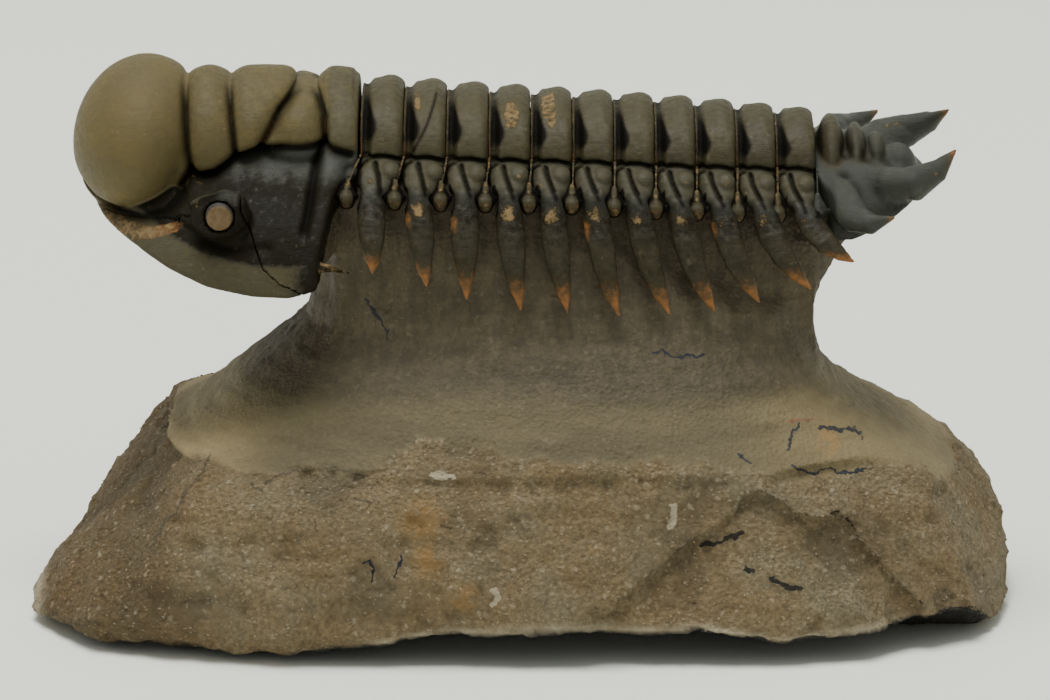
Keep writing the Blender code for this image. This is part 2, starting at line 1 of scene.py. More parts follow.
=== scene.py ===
# %% [markdown]
# This scene dresses a fossil trilobite that stands on the limestone it was prepared from. The solids come
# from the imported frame. The looks are made here: each plate and the rock are sculpted again with
# formulas, given a fine surface by Geometry Nodes, and finished with procedural materials.

# %% Load the frame
import math

import bpy
import numpy as np
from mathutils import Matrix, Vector


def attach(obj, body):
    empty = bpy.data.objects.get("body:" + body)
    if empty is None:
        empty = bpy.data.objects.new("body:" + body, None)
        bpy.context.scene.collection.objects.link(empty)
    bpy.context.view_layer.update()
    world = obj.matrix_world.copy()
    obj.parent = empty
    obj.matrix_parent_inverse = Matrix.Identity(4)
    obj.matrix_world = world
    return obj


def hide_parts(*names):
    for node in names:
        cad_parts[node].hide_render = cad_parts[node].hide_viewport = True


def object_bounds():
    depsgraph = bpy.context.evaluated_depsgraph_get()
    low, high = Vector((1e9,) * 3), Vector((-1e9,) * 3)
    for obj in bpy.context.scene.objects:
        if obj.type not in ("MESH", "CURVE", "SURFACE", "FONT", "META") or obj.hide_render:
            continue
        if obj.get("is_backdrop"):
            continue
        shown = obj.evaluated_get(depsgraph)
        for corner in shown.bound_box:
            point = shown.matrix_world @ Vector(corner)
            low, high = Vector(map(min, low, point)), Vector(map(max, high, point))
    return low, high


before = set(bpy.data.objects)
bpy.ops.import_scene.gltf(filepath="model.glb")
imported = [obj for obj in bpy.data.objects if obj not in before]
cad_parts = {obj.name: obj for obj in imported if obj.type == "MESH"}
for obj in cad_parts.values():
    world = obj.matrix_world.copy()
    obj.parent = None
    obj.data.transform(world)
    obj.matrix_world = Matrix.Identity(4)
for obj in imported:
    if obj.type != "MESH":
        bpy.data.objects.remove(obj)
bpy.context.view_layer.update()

MM = 0.001
ROUGH_LOOK = 1.0    # coarser meshes while trying things

# %% [markdown]
# The animal is described upright, in millimetres, with its head at -x and its left side at -y. Eleven
# rings of the trunk follow one rule, the rule that the solids were built with, so each plate falls in its
# own place. The whole body leans to its left on the rock, a little more at the tail, and the plates get
# that lean last.

# %% The animal's measures
LEAN_HEIGHT = 38.0
HEAD_LEAN, TAIL_LEAN = 7.0, 12.0
RING_COUNT = 11
TRUNK_START = -14.5
RING_PITCH, PITCH_LOSS = 3.8, 0.0135
FURROW_HEIGHT, FURROW_FALL = 42.0, 1.6
AXIS_HALF_WIDTH, AXIS_NARROWING = 7.4, 2.7
AXIS_HEIGHT, AXIS_HEIGHT_LOSS = 4.2, 1.1
FRONT_RISE = 0.6                       # how much higher the axis stands right behind the head
SHOULDER_OUT, SHOULDER_DOWN, SPINE_OUT = 4.3, 2.4, 3.7
JOINT_GAP = 0.06


def ring_edge(i):
    return TRUNK_START + RING_PITCH * i - PITCH_LOSS * i * i


def trunk_share(x):
    """0 at the back of the head, 1 at the front of the tail shield."""
    return (x - TRUNK_START) / (ring_edge(RING_COUNT) - TRUNK_START)


def furrow_z(x):
    return FURROW_HEIGHT - FURROW_FALL * trunk_share(x)


def axis_half_width(x):
    return AXIS_HALF_WIDTH - AXIS_NARROWING * np.maximum(0.0, trunk_share(x)) ** 2


def axis_height(x):
    share = np.clip(trunk_share(x), 0.0, 1.3)
    return AXIS_HEIGHT - AXIS_HEIGHT_LOSS * share ** 3 + FRONT_RISE * np.clip(1.0 - share, 0.0, 1.0) ** 5


def lean_at(x):
    """The lean at x in radians."""
    share = np.clip(2.0 * trunk_share(x) - 1.0, 0.0, 1.0)
    return np.radians(HEAD_LEAN + (TAIL_LEAN - HEAD_LEAN) * share)


def upright(points):
    """Points of the leaning body, brought back to the upright animal."""
    turn, y, z = lean_at(points[:, 0]), points[:, 1], points[:, 2] - LEAN_HEIGHT
    return np.stack([points[:, 0], y * np.cos(turn) + z * np.sin(turn),
                     LEAN_HEIGHT - y * np.sin(turn) + z * np.cos(turn)], axis=1)


print("rings run from", ring_edge(0), "to", round(ring_edge(RING_COUNT), 2), "mm")

# %% [markdown]
# Smooth organic forms with creases are hard to make by moving vertices, and easy to say as distances: how
# far is a point from an ellipsoid, from a rod, from a furrow's line? Forms are joined with a soft
# minimum, and a furrow is a line along which the surface is lowered. A sculptor works in much the same
# way, adding and scraping.

# %% Formulas for shapes
def mix(a, b, t):
    return a + (b - a) * t


def soft_step(low, high, value):
    t = np.clip((value - low) / (high - low), 0.0, 1.0)
    return t * t * (3.0 - 2.0 * t)


def hump(gap, width):
    return np.exp(-(gap / width) ** 2)


def blend(a, b, softness):
    """The union of two forms with a soft inner corner."""
    h = np.clip(0.5 + 0.5 * (b - a) / softness, 0.0, 1.0)
    return mix(b, a, h) - softness * h * (1.0 - h)


def cut(a, b, softness):
    """What two forms share, with a soft outer edge."""
    return -blend(-a, -b, softness)


def ellipsoid(p, centre, radii, tip_back=0.0):
    """About the distance to an ellipsoid, whose top leans back by some degrees."""
    q = p - np.array(centre)
    c, s = math.cos(math.radians(tip_back)), math.sin(math.radians(tip_back))
    q = np.stack([c * q[:, 0] - s * q[:, 2], q[:, 1], s * q[:, 0] + c * q[:, 2]], axis=1) / np.array(radii)
    size = np.sqrt((q ** 2).sum(axis=1)) + 1e-9
    steep = np.sqrt(((q / np.array(radii)) ** 2).sum(axis=1)) + 1e-9
    return size * (size - 1.0) / steep


def line_gap(p, line):
    """Distance to a bent line, in two or three dimensions."""
    line = np.array(line, float)
    best = np.full(len(p), 1e9)
    for a, b in zip(line, line[1:]):
        run = b - a
        t = np.clip((p - a) @ run / (run @ run), 0.0, 1.0)
        best = np.minimum(best, np.sqrt(((p - a - t[:, None] * run) ** 2).sum(axis=1)))
    return best


def rod(p, line, half_widths, half_depths=None):
    """A tapering rod along a line, wide along the body and half_depths thick across it."""
    half_depths = half_depths or half_widths
    best = np.full(len(p), 1e9)
    for k in range(len(line) - 1):
        a, b = np.array(line[k], float), np.array(line[k + 1], float)
        run = b - a
        t = np.clip((p - a) @ run / (run @ run), 0.0, 1.0)
        q = p - a - t[:, None] * run
        run = run / np.linalg.norm(run)
        back = np.array([1.0, 0.0, 0.0]) - run[0] * run
        back = back / np.linalg.norm(back)
        out = np.cross(run, back)
        w = mix(half_widths[k], half_widths[k + 1], t)
        d = mix(half_depths[k], half_depths[k + 1], t)
        u, n, r = q @ back, q @ out, q @ run
        size = np.sqrt((u / w) ** 2 + (n / d) ** 2 + (r / d) ** 2) + 1e-9
        steep = np.sqrt((u / w ** 2) ** 2 + (n / d ** 2) ** 2 + (r / d ** 2) ** 2) + 1e-9
        best = np.minimum(best, size * (size - 1.0) / steep)
    return best


def side_gap(p, line):
    """Distance to a line drawn on the body's side, as x and z."""
    return line_gap(p[:, [0, 2]], line)


def spot_gap(p, spot):
    return np.sqrt(((p - np.array(spot)) ** 2).sum(axis=1))


def folded(p):
    """Both sides of the body brought to the near side, so that one formula makes the pair."""
    return np.stack([p[:, 0], -np.abs(p[:, 1]), p[:, 2]], axis=1)


print("3 mm from the middle of a 2 mm ball:", ellipsoid(np.array([[3.0, 0.0, 0.0]]), (0, 0, 0), (2, 2, 2)))

# %% [markdown]
# A formula becomes a mesh in three steps. It is read on a grid, first coarsely and then finely near the
# surface only. Each cell that the surface passes through gets one vertex, and neighbours are joined by
# quads, a method called surface nets. Then each vertex slides down the formula's slope until it lies on
# the surface.

# %% A mesh from a formula
CORNERS = [(i, j, k) for i in (0, 1) for j in (0, 1) for k in (0, 1)]
COARSE = 4


def window(values, corner):
    """The grid moved by a corner, one shorter each way."""
    n = [size - 1 for size in values.shape]
    return values[corner[0]:corner[0] + n[0], corner[1]:corner[1] + n[1], corner[2]:corner[2] + n[2]]


def read_grid(field, low, high, pitch):
    """The formula's values on a fine grid, worked out only near the surface, and the grid's lines."""
    low = np.array(low, float)
    cells = (np.ceil((np.array(high) - low) / (pitch * COARSE))).astype(int) * COARSE
    lines = [low[k] + pitch * np.arange(cells[k] + 1) for k in range(3)]
    sparse = np.stack(np.meshgrid(*[a[::COARSE] for a in lines], indexing="ij"), axis=-1)
    coarse = field(sparse.reshape(-1, 3)).reshape(sparse.shape[:3])
    near = np.abs(coarse) < pitch * COARSE * 2.4
    close = np.zeros([n // COARSE for n in cells], bool)
    for corner in CORNERS:
        close |= window(near, corner)
    fine_cells = close.repeat(COARSE, 0).repeat(COARSE, 1).repeat(COARSE, 2)
    wanted = np.zeros(cells + 1, bool)
    for corner in CORNERS:
        window(wanted, corner)[...] |= fine_cells
    nearest = [np.rint(np.arange(n + 1) / COARSE).astype(int) for n in cells]
    values = coarse[np.ix_(*nearest)]
    where = np.nonzero(wanted)
    values[where] = field(np.stack([lines[k][where[k]] for k in range(3)], axis=1))
    return values, low


def surface_net(values, low, pitch):
    inside = values < 0.0
    count = sum(window(inside, corner).astype(np.int8) for corner in CORNERS)
    mixed = (count > 0) & (count < 8)
    cell = np.full(mixed.shape, -1, np.int64)
    base = np.argwhere(mixed)
    cell[mixed] = np.arange(len(base))
    total, hits = np.zeros((len(base), 3)), np.zeros(len(base))
    for corner in CORNERS:
        for axis in range(3):
            if corner[axis] == 0:
                step = np.eye(3, dtype=int)[axis]
                a = base + corner
                fa, fb = values[tuple(a.T)], values[tuple((a + step).T)]
                crossed = (fa < 0) != (fb < 0)
                t = np.where(crossed, fa / np.where(crossed, fa - fb, 1.0), 0.0)
                total += crossed[:, None] * (np.array(corner) + t[:, None] * step)
                hits += crossed
    vertices = low + pitch * (base + total / hits[:, None])
    quads = []
    for axis in range(3):
        one, two = np.eye(3, dtype=int)[(axis + 1) % 3], np.eye(3, dtype=int)[(axis + 2) % 3]
        size = [n - (1 if k == axis else 0) for k, n in enumerate(inside.shape)]
        first = inside[:size[0], :size[1], :size[2]]
        second = inside[tuple(slice(1, None) if k == axis else slice(None) for k in range(3))]
        edge = np.argwhere(first != second)
        safe = (edge[:, (axis + 1) % 3] > 0) & (edge[:, (axis + 2) % 3] > 0)
        safe &= (edge[:, (axis + 1) % 3] < mixed.shape[(axis + 1) % 3])
        safe &= (edge[:, (axis + 2) % 3] < mixed.shape[(axis + 2) % 3])
        edge = edge[safe]
        quad = np.stack([cell[tuple(e.T)] for e in (edge, edge - one, edge - one - two, edge - two)], axis=1)
        outward = first[tuple(edge.T)]
        quads.append(np.where(outward[:, None], quad, quad[:, ::-1]))
    return vertices, np.concatenate(quads)


def settle(vertices, field, pitch, rounds=3):
    """Slides the vertices along the formula's slope on to the surface."""
    step = 0.02
    for _ in range(rounds):
        value = field(vertices)
        slope = np.stack([(field(vertices + step * np.eye(3)[k]) - value) / step for k in range(3)], axis=1)
        move = slope * (value / np.maximum((slope ** 2).sum(axis=1), 0.05))[:, None]
        far = np.sqrt((move ** 2).sum(axis=1))
        move *= np.minimum(1.0, 0.4 * pitch / np.maximum(far, 1e-9))[:, None]
        vertices = vertices - move
    return vertices


def sculpt(field, low, high, pitch):
    """A closed surface of a formula in a box, as vertices in mm and quads."""
    pitch = pitch * ROUGH_LOOK
    values, corner = read_grid(field, low, high, pitch)
    vertices, quads = surface_net(values, corner, pitch)
    return settle(vertices, field, pitch), quads


def make_piece(name, vertices, quads, paints):
    """An object from vertices in mm, with one named value per vertex for each kind of paint."""
    mesh = bpy.data.meshes.new(name)
    mesh.from_pydata((vertices * MM).tolist(), [], quads.tolist())
    for label, values in paints.items():
        mesh.attributes.new(label, "FLOAT", "POINT").data.foreach_set("value", values.astype(np.float32))
    piece = bpy.data.objects.new(name, mesh)
    bpy.context.scene.collection.objects.link(piece)
    return piece


ball = sculpt(lambda p: ellipsoid(p, (0, 0, 0), (2, 2, 2)), (-3, -3, -3), (3, 3, 3), 0.5)
print("a test ball has", len(ball[0]), "vertices and", len(ball[1]), "quads")

# %% [markdown]
# Node trees are built in the script, so a few helpers keep them readable. One makes an empty tree with
# named inputs. One adds a node, sets or joins its inputs and hands back an output as a wire. Wires can be
# added and multiplied with plain signs, so a sum in a tree reads like a sum.

# %% Helpers for node trees
class Wire:
    """A node's output. Each plain sign between wires and numbers adds one Math node."""

    def __init__(self, socket):
        self.socket = socket

    def __add__(self, other):
        return maths("ADD", self, other)

    def __sub__(self, other):
        return maths("SUBTRACT", self, other)

    def __rsub__(self, other):
        return maths("SUBTRACT", other, self)

    def __mul__(self, other):
        return maths("MULTIPLY", self, other)

    def __truediv__(self, other):
        return maths("DIVIDE", self, other)

    def __rtruediv__(self, other):
        return maths("DIVIDE", other, self)

    def clamped(self):
        """The sum's result kept between 0 and 1."""
        self.socket.node.use_clamp = True
        return self

    def other(self, output):
        """Another output of the same node."""
        return Wire(self.socket.node.outputs[output])


def new_tree(name, kind, inputs, outputs):
    tree = bpy.data.node_groups.new(name, kind)
    for label, socket, value in inputs:
        made = tree.interface.new_socket(label, in_out="INPUT", socket_type="NodeSocket" + socket)
        if value is not None:
            made.default_value = value
    for label, socket in outputs:
        tree.interface.new_socket(label, in_out="OUTPUT", socket_type="NodeSocket" + socket)
    put = {socket.name: Wire(socket) for socket in tree.nodes.new("NodeGroupInput").outputs}
    return tree, put, tree.nodes.new("NodeGroupOutput").inputs


def join(wire, socket):
    wire.socket.id_data.links.new(wire.socket, socket)


def node(kind, inputs=None, output=0, tree=None, **settings):
    """Adds a node to a tree, or else to the tree of its first wired input, and returns one output."""
    inputs = inputs or {}
    if tree is None:
        tree = next(value.socket.id_data for value in inputs.values() if isinstance(value, Wire))
    made = tree.nodes.new(kind)
    for key, value in settings.items():
        setattr(made, key, value)
    for key, value in inputs.items():
        if isinstance(value, Wire):
            join(value, made.inputs[key])
        else:
            made.inputs[key].default_value = value
    return Wire(made.outputs[output])


def maths(operation, *values):
    return node("ShaderNodeMath", dict(enumerate(values)), operation=operation)


def vectors(operation, *values):
    output = "Value" if operation in ("DOT_PRODUCT", "DISTANCE") else "Vector"
    return node("ShaderNodeVectorMath", dict(enumerate(values)), output, operation=operation)


def scaled(vector, scale):
    return node("ShaderNodeVectorMath", {0: vector, "Scale": scale}, operation="SCALE")


def greatest(values):
    total = values[0]
    for value in values[1:]:
        total = maths("MAXIMUM", total, value)
    return total


def ramp(value, low, high, first=0.0, last=1.0):
    """A clamped change from first to last while value goes from low to high."""
    inputs = {0: value, 1: low, 2: high, 3: first, 4: last}
    return node("ShaderNodeMapRange", inputs, interpolation_type="SMOOTHSTEP")


def tint(share, first, last, mode="MIX"):
    """A mix of two colours, by a share."""
    return node("ShaderNodeMix", {0: share, 6: first, 7: last}, 2, data_type="RGBA", blend_type=mode)


def multiplied(share, colour, factor):
    """The colour multiplied by a factor, by a share."""
    return tint(share, colour, tint(1.0, colour, (*factor, 1.0), "MULTIPLY"))


def noise(place, scale, detail=4.0, rough=0.55):
    inputs = {"Vector": place, "Scale": scale, "Detail": detail, "Roughness": rough}
    return node("ShaderNodeTexNoise", inputs)


def stretched(place, factors):
    return vectors("MULTIPLY", place, factors)


print("helpers:", [made.__name__ for made in (node, maths, vectors, scaled, ramp, tint, multiplied, noise)])

# %% [markdown]
# Every material here needs a few of the same effects: a position in millimetres, a cloudy variation, pale
# flecks, thin drawn or cracked lines, and grain for the bump. Each is a shader node group, built once.
# They read Object coordinates, so the pattern sits still in the piece from every side.

# %% Shader groups
def new_group(name, inputs, output, kind="Float"):
    places = [(label, "Vector", None) for label in inputs if inputs[label] is None]
    numbers = [(label, "Float", value) for label, value in inputs.items() if value is not None]
    return new_tree(name, "ShaderNodeTree", places + numbers, [(output, kind)])


def group_place():
    tree, _, out = new_group("Place in mm", {}, "Place", "Vector")
    seen = node("ShaderNodeTexCoord", output="Object", tree=tree)
    join(stretched(seen, (1000.0, 1000.0, 1000.0)), out["Place"])
    return tree


def group_clouds():
    """Soft variation from two sizes of noise, 0 to 1."""
    tree, put, out = new_group("Clouds", {"Place": None, "Size": 5.0, "Contrast": 1.0}, "Value")
    scale = 1.0 / put["Size"]
    both = noise(put["Place"], scale, 3.0) * 0.6 + noise(put["Place"], scale * 4.3, 5.0, 0.7) * 0.4
    join(((both - 0.5) * (put["Contrast"] * 3.0) + 0.5).clamped(), out["Value"])
    return tree


def group_flecks():
    """Small separate spots: Share is how many cells of the stone have one."""
    tree, put, out = new_group("Flecks", {"Place": None, "Size": 1.0, "Share": 0.3}, "Mask")
    shift = node("ShaderNodeTexNoise", {"Vector": put["Place"], "Scale": 1.1}, "Color")
    bent = vectors("ADD", put["Place"], shift)
    cells = node("ShaderNodeTexVoronoi", {"Vector": bent, "Scale": 1.0 / put["Size"]}, "Distance")
    chance = node("ShaderNodeSeparateColor", {0: cells.other("Color")})
    chosen = maths("LESS_THAN", chance, put["Share"])
    join(ramp(cells, 0.16, 0.34, 1.0, 0.0) * chosen * chance.other(1), out["Mask"])
    return tree


def group_line():
    """A thin line on the near side of the rock, between two places given as x and z."""
    inputs = {"Place": None, "From": None, "To": None, "Half width": 0.15}
    tree, put, out = new_group("Thin line", inputs, "Mask")
    run = vectors("SUBTRACT", put["To"], put["From"])
    here = vectors("SUBTRACT", stretched(put["Place"], (1.0, 0.0, 1.0)), put["From"])
    share = (vectors("DOT_PRODUCT", here, run) / vectors("DOT_PRODUCT", run, run)).clamped()
    gap = vectors("DISTANCE", here, scaled(run, share))
    join(ramp(gap, put["Half width"], put["Half width"] * 1.8, 1.0, 0.0), out["Mask"])
    return tree


def group_grain():
    """Heights for a bump: broad lumps, grain and fine grit."""
    tree, put, out = new_group("Grain", {"Place": None, "Size": 1.0, "Lumps": 0.5, "Grit": 0.5}, "Height")
    scale = 1.0 / put["Size"]
    cells = node("ShaderNodeTexVoronoi", {"Vector": put["Place"], "Scale": scale * 2.2}, "Distance")
    grit = cells + noise(put["Place"], scale * 5.0, 3.0, 0.75)
    join(noise(put["Place"], scale, 3.0, 0.6) * put["Lumps"] + grit * (put["Grit"] * 0.5), out["Height"])
    return tree


PLACE, CLOUDS, FLECKS = group_place(), group_clouds(), group_flecks()
LINE, GRAIN = group_line(), group_grain()


def use(group, place, **inputs):
    """Places a shader group with its own values, and returns its first output."""
    named = {label.replace("_", " "): value for label, value in inputs.items()}
    return node("ShaderNodeGroup", {"Place": place, **named}, node_tree=group)


def painted(tree, *labels):
    """The values painted on the piece, one wire for each label."""
    return [node("ShaderNodeAttribute", output="Fac", tree=tree, attribute_name=label) for label in labels]


def new_material(name):
    """A material, its tree, and the place in millimetres that its patterns are read at."""
    material = bpy.data.materials.new(name)
    material.use_nodes = True
    tree = material.node_tree
    return material, tree, node("ShaderNodeGroup", tree=tree, node_tree=PLACE)


def finish(tree, colour, rough, height, strength, distance, **more):
    """Joins colour, roughness and a bump from heights to the shader, and what else is given."""
    bump = node("ShaderNodeBump", {"Height": height, "Strength": strength, "Distance": distance})
    wires = {"Base Color": colour, "Roughness": rough, "Normal": bump}
    wires.update({label.replace("_", " "): wire for label, wire in more.items()})
    for label, wire in wires.items():
        join(wire, tree.nodes["Principled BSDF"].inputs[label])


print("shader groups:", [group.name for group in (PLACE, CLOUDS, FLECKS, LINE, GRAIN)])

# %% [markdown]
# The fossil's shell is calcite, polished by the preparer. It is tan-olive and half matt on the swollen front
# of the head, browner on the rings, blue-grey on the side lobes, and nearly black and glossy on the cheeks.
# Spine tips and knocked spots are rusty or pale. The colour follows values painted on each vertex by the same
# formulas that made the shape, so the black shade painted into a furrow, a pit or a gap between parts lies
# just there.

# %% Shell materials
OLIVE_TAN = (0.139, 0.109, 0.043, 1.0)
OLIVE_BROWN = (0.072, 0.062, 0.030, 1.0)
DARK_SHELL = (0.014, 0.0120, 0.0065, 1.0)
BLUE_GREY = (0.056, 0.062, 0.052, 1.0)
RUST = (0.30, 0.13, 0.040, 1.0)
WORN_TAN = (0.225, 0.155, 0.072, 1.0)
# Near-black painted shade for the furrows, pits, creases and gaps between parts, and the colour of one real
# crack.
SHADE_AND_CRACK_BLACK = (0.007, 0.006, 0.005, 1.0)
CLOUDED = (0.62, 0.62, 0.64)           # how much of each colour is left where a cloud is thickest
FLECK_LIGHT = (0.10, 0.085, 0.05, 1.0)
SHELL_BUMP = 0.00022
SCRATCH_RUN = (0.5, 2.2, 3.4)          # the scratches run along the body


def shell_material(name, dull, scratch, shine):
    """One finish for all plates; how dull, how scratched and how shiny is what differs between them."""
    material, tree, place = new_material(name)
    clouds = use(CLOUDS, place, Size=3.0, Contrast=1.0)
    fine = use(CLOUDS, place, Size=0.55, Contrast=1.2)
    flecks = use(FLECKS, place, Size=0.55, Share=0.16)
    shade, grey, rust, worn, furrow = painted(tree, "shade", "grey", "rust", "worn", "furrow")
    edge = (fine - 0.5) * 0.2
    shade = (shade + edge).clamped()
    colour = tint(ramp(shade, 0.0, 0.5), OLIVE_TAN, OLIVE_BROWN)
    colour = tint(ramp(shade, 0.45, 1.0), colour, DARK_SHELL)
    colour = tint((grey + edge * grey).clamped(), colour, BLUE_GREY)
    colour = multiplied(clouds * 0.75, colour, CLOUDED)
    colour = tint(flecks * 0.35, colour, tint(1.0, colour, FLECK_LIGHT, "ADD"))
    rust = ramp(rust + edge * 2.0, 0.15, 0.85)
    worn = ramp(worn + edge * 2.4, 0.4, 0.65)
    # Rust and wear are the shell's own colour. The furrow paint is mostly painted shade, and on one ring it
    # also holds a real crack.
    for share, paint in ((rust, RUST), (worn, WORN_TAN), (furrow, SHADE_AND_CRACK_BLACK)):
        colour = tint(share, colour, paint)
    rough = (fine * 0.22 + ramp(shade, 0.0, 1.0, dull, dull - 0.10) + worn * 0.35).clamped()
    grain = use(GRAIN, place, Size=0.8, Lumps=0.5, Grit=0.5)
    height = noise(stretched(place, SCRATCH_RUN), 0.9, 6.0, 0.8) * scratch + grain * (worn * 2.5 + 0.35)
    polish = ramp(shade, 0.82, 0.98, shine, shine * 0.3) * ramp(clouds, 0.1, 0.9, 0.7, 1.3)
    finish(tree, colour, rough, height, 0.6, SHELL_BUMP, Specular_IOR_Level=(1.0 - furrow * 0.92) * polish)
    return material


SHELL_OLIVE = shell_material("shell olive", 0.42, 0.6, 0.18)
SHELL_DARK = shell_material("shell dark", 0.36, 1.1, 0.18)
print("shell finishes:", SHELL_OLIVE.name, "and", SHELL_DARK.name)

# %% [markdown]
# The eye's small disc is bare tan calcite, dull and a little pitted, in the dark ring of its socket.

# %% Eye material
EYE_TAN = (0.160, 0.098, 0.030, 1.0)
EYE_BROWN = (0.095, 0.056, 0.018, 1.0)
EYE_RIM = (0.022, 0.018, 0.013, 1.0)
EYE_BUMP = 0.00015


def eye_material():
    material, tree, place = new_material("eye calcite")
    fine = use(CLOUDS, place, Size=0.5, Contrast=1.0)
    rim, = painted(tree, "shade")
    colour = tint(rim, tint(fine, EYE_TAN, EYE_BROWN), EYE_RIM)
    grain = use(GRAIN, place, Size=0.5, Lumps=0.8, Grit=0.6)
    finish(tree, colour, ramp(fine, 0.0, 1.0, 0.5, 0.75), grain, 0.6, EYE_BUMP)
    return material


EYE_CALCITE = eye_material()
print("eye finish:", EYE_CALCITE.name)

# %% [markdown]
# A last touch is the same for every plate: a fine unevenness along its normals, and the lean of the body.
# A Geometry Nodes tree does both, with the lean and the unevenness as inputs, so each ring gets its own
# lean from one tree. The result is made a plain mesh, because the export keeps no live modifiers on
# bodies.

# %% Geometry Nodes: lean and grain
def new_shape_tree(name, numbers):
    """A tree that changes a shape: its inputs are the shape, some numbers and the finish."""
    inputs = [("Geometry", "Geometry", None), *numbers, ("Finish", "Material", None)]
    return new_tree(name, "GeometryNodeTree", inputs, [("Geometry", "Geometry")])


def end_shape_tree(shape, put, out):
    """Realizes the shape, gives it its finish and hands it on."""
    real = node("GeometryNodeRealizeInstances", {0: shape})
    join(node("GeometryNodeSetMaterial", {"Geometry": real, "Material": put["Finish"]}), out["Geometry"])


def tree_lean_and_grain():
    numbers = [("Lean", "Float", 0.1), ("Grain size", "Float", 1.0), ("Grain height", "Float", 0.05)]
    tree, put, out = new_shape_tree("Lean and grain", numbers)
    position = node("GeometryNodeInputPosition", tree=tree)
    normal = node("GeometryNodeInputNormal", tree=tree)
    waves = noise(scaled(position, 1000.0), 1.0 / put["Grain size"], 4.0, 0.6)
    rise = (waves - 0.5) * (put["Grain height"] * MM)
    grained = node("GeometryNodeSetPosition", {"Geometry": put["Geometry"], "Offset": scaled(normal, rise)})
    turn = {"Vector": position, "Center": (0.0, 0.0, LEAN_HEIGHT * MM), "Angle": put["Lean"]}
    leaned = node("ShaderNodeVectorRotate", turn, rotation_type="X_AXIS")
    end_shape_tree(node("GeometryNodeSetPosition", {"Geometry": grained, "Position": leaned}), put, out)
    return tree


def run_tree(piece, tree, **inputs):
    """Runs a tree on the piece with its inputs set by identifier, and makes the result a plain mesh."""
    modifier = piece.modifiers.new(tree.name, "NODES")
    modifier.node_group = tree
    for socket in tree.interface.items_tree:
        label = socket.name.replace(" ", "_")
        if socket.in_out == "INPUT" and label in inputs:
            modifier[socket.identifier] = inputs[label]
    bpy.context.view_layer.update()
    seen = piece.evaluated_get(bpy.context.evaluated_depsgraph_get())
    made = bpy.data.meshes.new_from_object(seen)
    piece.modifiers.clear()
    piece.data = made
    made.name = piece.name
    made.shade_smooth()
    return piece


def dress(piece, cad_node):
    """The piece stands for its CAD node: it moves with the body, and the CAD solid is hidden."""
    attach(piece, "root")
    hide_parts(cad_node)
    piece.data.calc_loop_triangles()
    print(f"{piece.name}: {len(piece.data.loop_triangles)} triangles")


LEAN_AND_GRAIN = tree_lean_and_grain()
print("tree for the plates:", LEAN_AND_GRAIN.name)

# %% [markdown]
# The head is one form for three plates: a low dome, the glabella that swells over its front and is
# crossed by furrows, the ring at its back with the border that runs down to the cheek's corner, and the
# eye hills. The facial suture parts the free cheeks from the middle. Furrows are lines on the surface,
# taken from the photo.

# %% The head's formula
HEAD_CENTRE, HEAD_RADII = (-18.0, 0.0, 30.0), (24.4, 18.2, 12.5)
HEAD_BACK = TRUNK_START - 0.2
SHELL = 1.6
HEAD_MARGIN = ((-44, 38.2), (-39.4, 37), (-37.2, 36), (-34, 34.9), (-31, 33.7), (-27.7, 32.7), (-23.7, 32.2),
               (-20.5, 32.2), (-17.5, 33.0), (-12, 34))
# The facial suture: in front of the eye as x and distance from the middle, behind it as z and x.
SUTURE_ABOVE = ((-46, 3.6), (-38.5, 4.4), (-35.5, 7.4), (-32.5, 9.8), (-29.4, 11.4), (-27.8, 12), (-25.6, 12))
SUTURE_BESIDE = ((32.2, -18.6), (32.9, -19.9), (33.4, -21.2), (34.5, -22.7), (35.7, -23.3), (37.6, -24.0),
                 (39.4, -24.7))
REAR_EDGE = ((HEAD_BACK, 8.6), (HEAD_BACK - 1.3, 10.0), (HEAD_BACK - 2.0, 11.5), (HEAD_BACK - 2.7, 14.5),
             (HEAD_BACK - 3.3, 16.6), (HEAD_BACK - 3.4, 24))
BULB = ((-34.2, 0, 41.6), (5.95, 9.6, 7.0), 16)
GLABELLA_MIDDLE, GLABELLA_SIZE = (-24.0, 40.9), (7.7, 6.8)     # x and z of its middle, half width and height
SIDE_LOBE = ((-19.8, -4.6, 42.4), (2.7, 3.2, 3.6), -8)
EYE = (-26.5, -14.1, 38.8)
# Furrows as seen from the side: points as x and z, half width, depth.
CROSS_FURROWS = (
    (((-30.3, 50), (-30.1, 47.6), (-29.9, 45), (-29.7, 42), (-29.4, 40.6)), 0.3, 0.62),
    (((-26.4, 50), (-26.2, 47.2), (-25.9, 45), (-25.5, 41.9)), 0.28, 0.55),
)
LOW_FURROWS = (
    (((-23.4, 42.3), (-22.3, 44.1), (-21.6, 45.3), (-20.4, 46.4), (-19.3, 47.1)), 0.3, 0.55),
    (((-19.3, 47.1), (-18.3, 46.2), (-17.7, 45), (-17.5, 43)), 0.28, 0.55),
    (((-30.2, 39.2), (-29.4, 40.4), (-28.6, 40.1), (-27.2, 40.5), (-25.7, 41.5), (-24.2, 42.1), (-21, 42.7),
      (-17.6, 42.8), (-15.4, 42.2)), 0.36, 0.6),
    (((-17.9, 42.6), (-18.5, 40.7), (-18.9, 38.4), (-19.2, 37.3)), 0.36, 0.42),
    (((-41, 40.2), (-39.6, 38.6), (-38, 37.4), (-36, 36.8), (-33.6, 36.9), (-31.4, 37.6), (-30, 38.9)),
     0.32, 0.4),
    (((-30.8, 37.2), (-28.9, 36.5), (-26, 35.9), (-23.6, 35.9), (-22.4, 36)), 0.4, 0.38),
)
BORDER_LINE = ((-16.9, -7.8, 41.6), (-17.3, -10.4, 39.9), (-17.7, -13.2, 37.8), (-18.2, -15.1, 36.1),
               (-18.7, -16.5, 34.1))
EYE_RIDGE = ((-29.0, -12.2, 38.9), (-28.0, -12.5, 40.0), (-26.5, -12.8, 40.4), (-25.2, -12.9, 39.8),
             (-24.4, -13.2, 38.6), (-24.1, -13.4, 37.6))
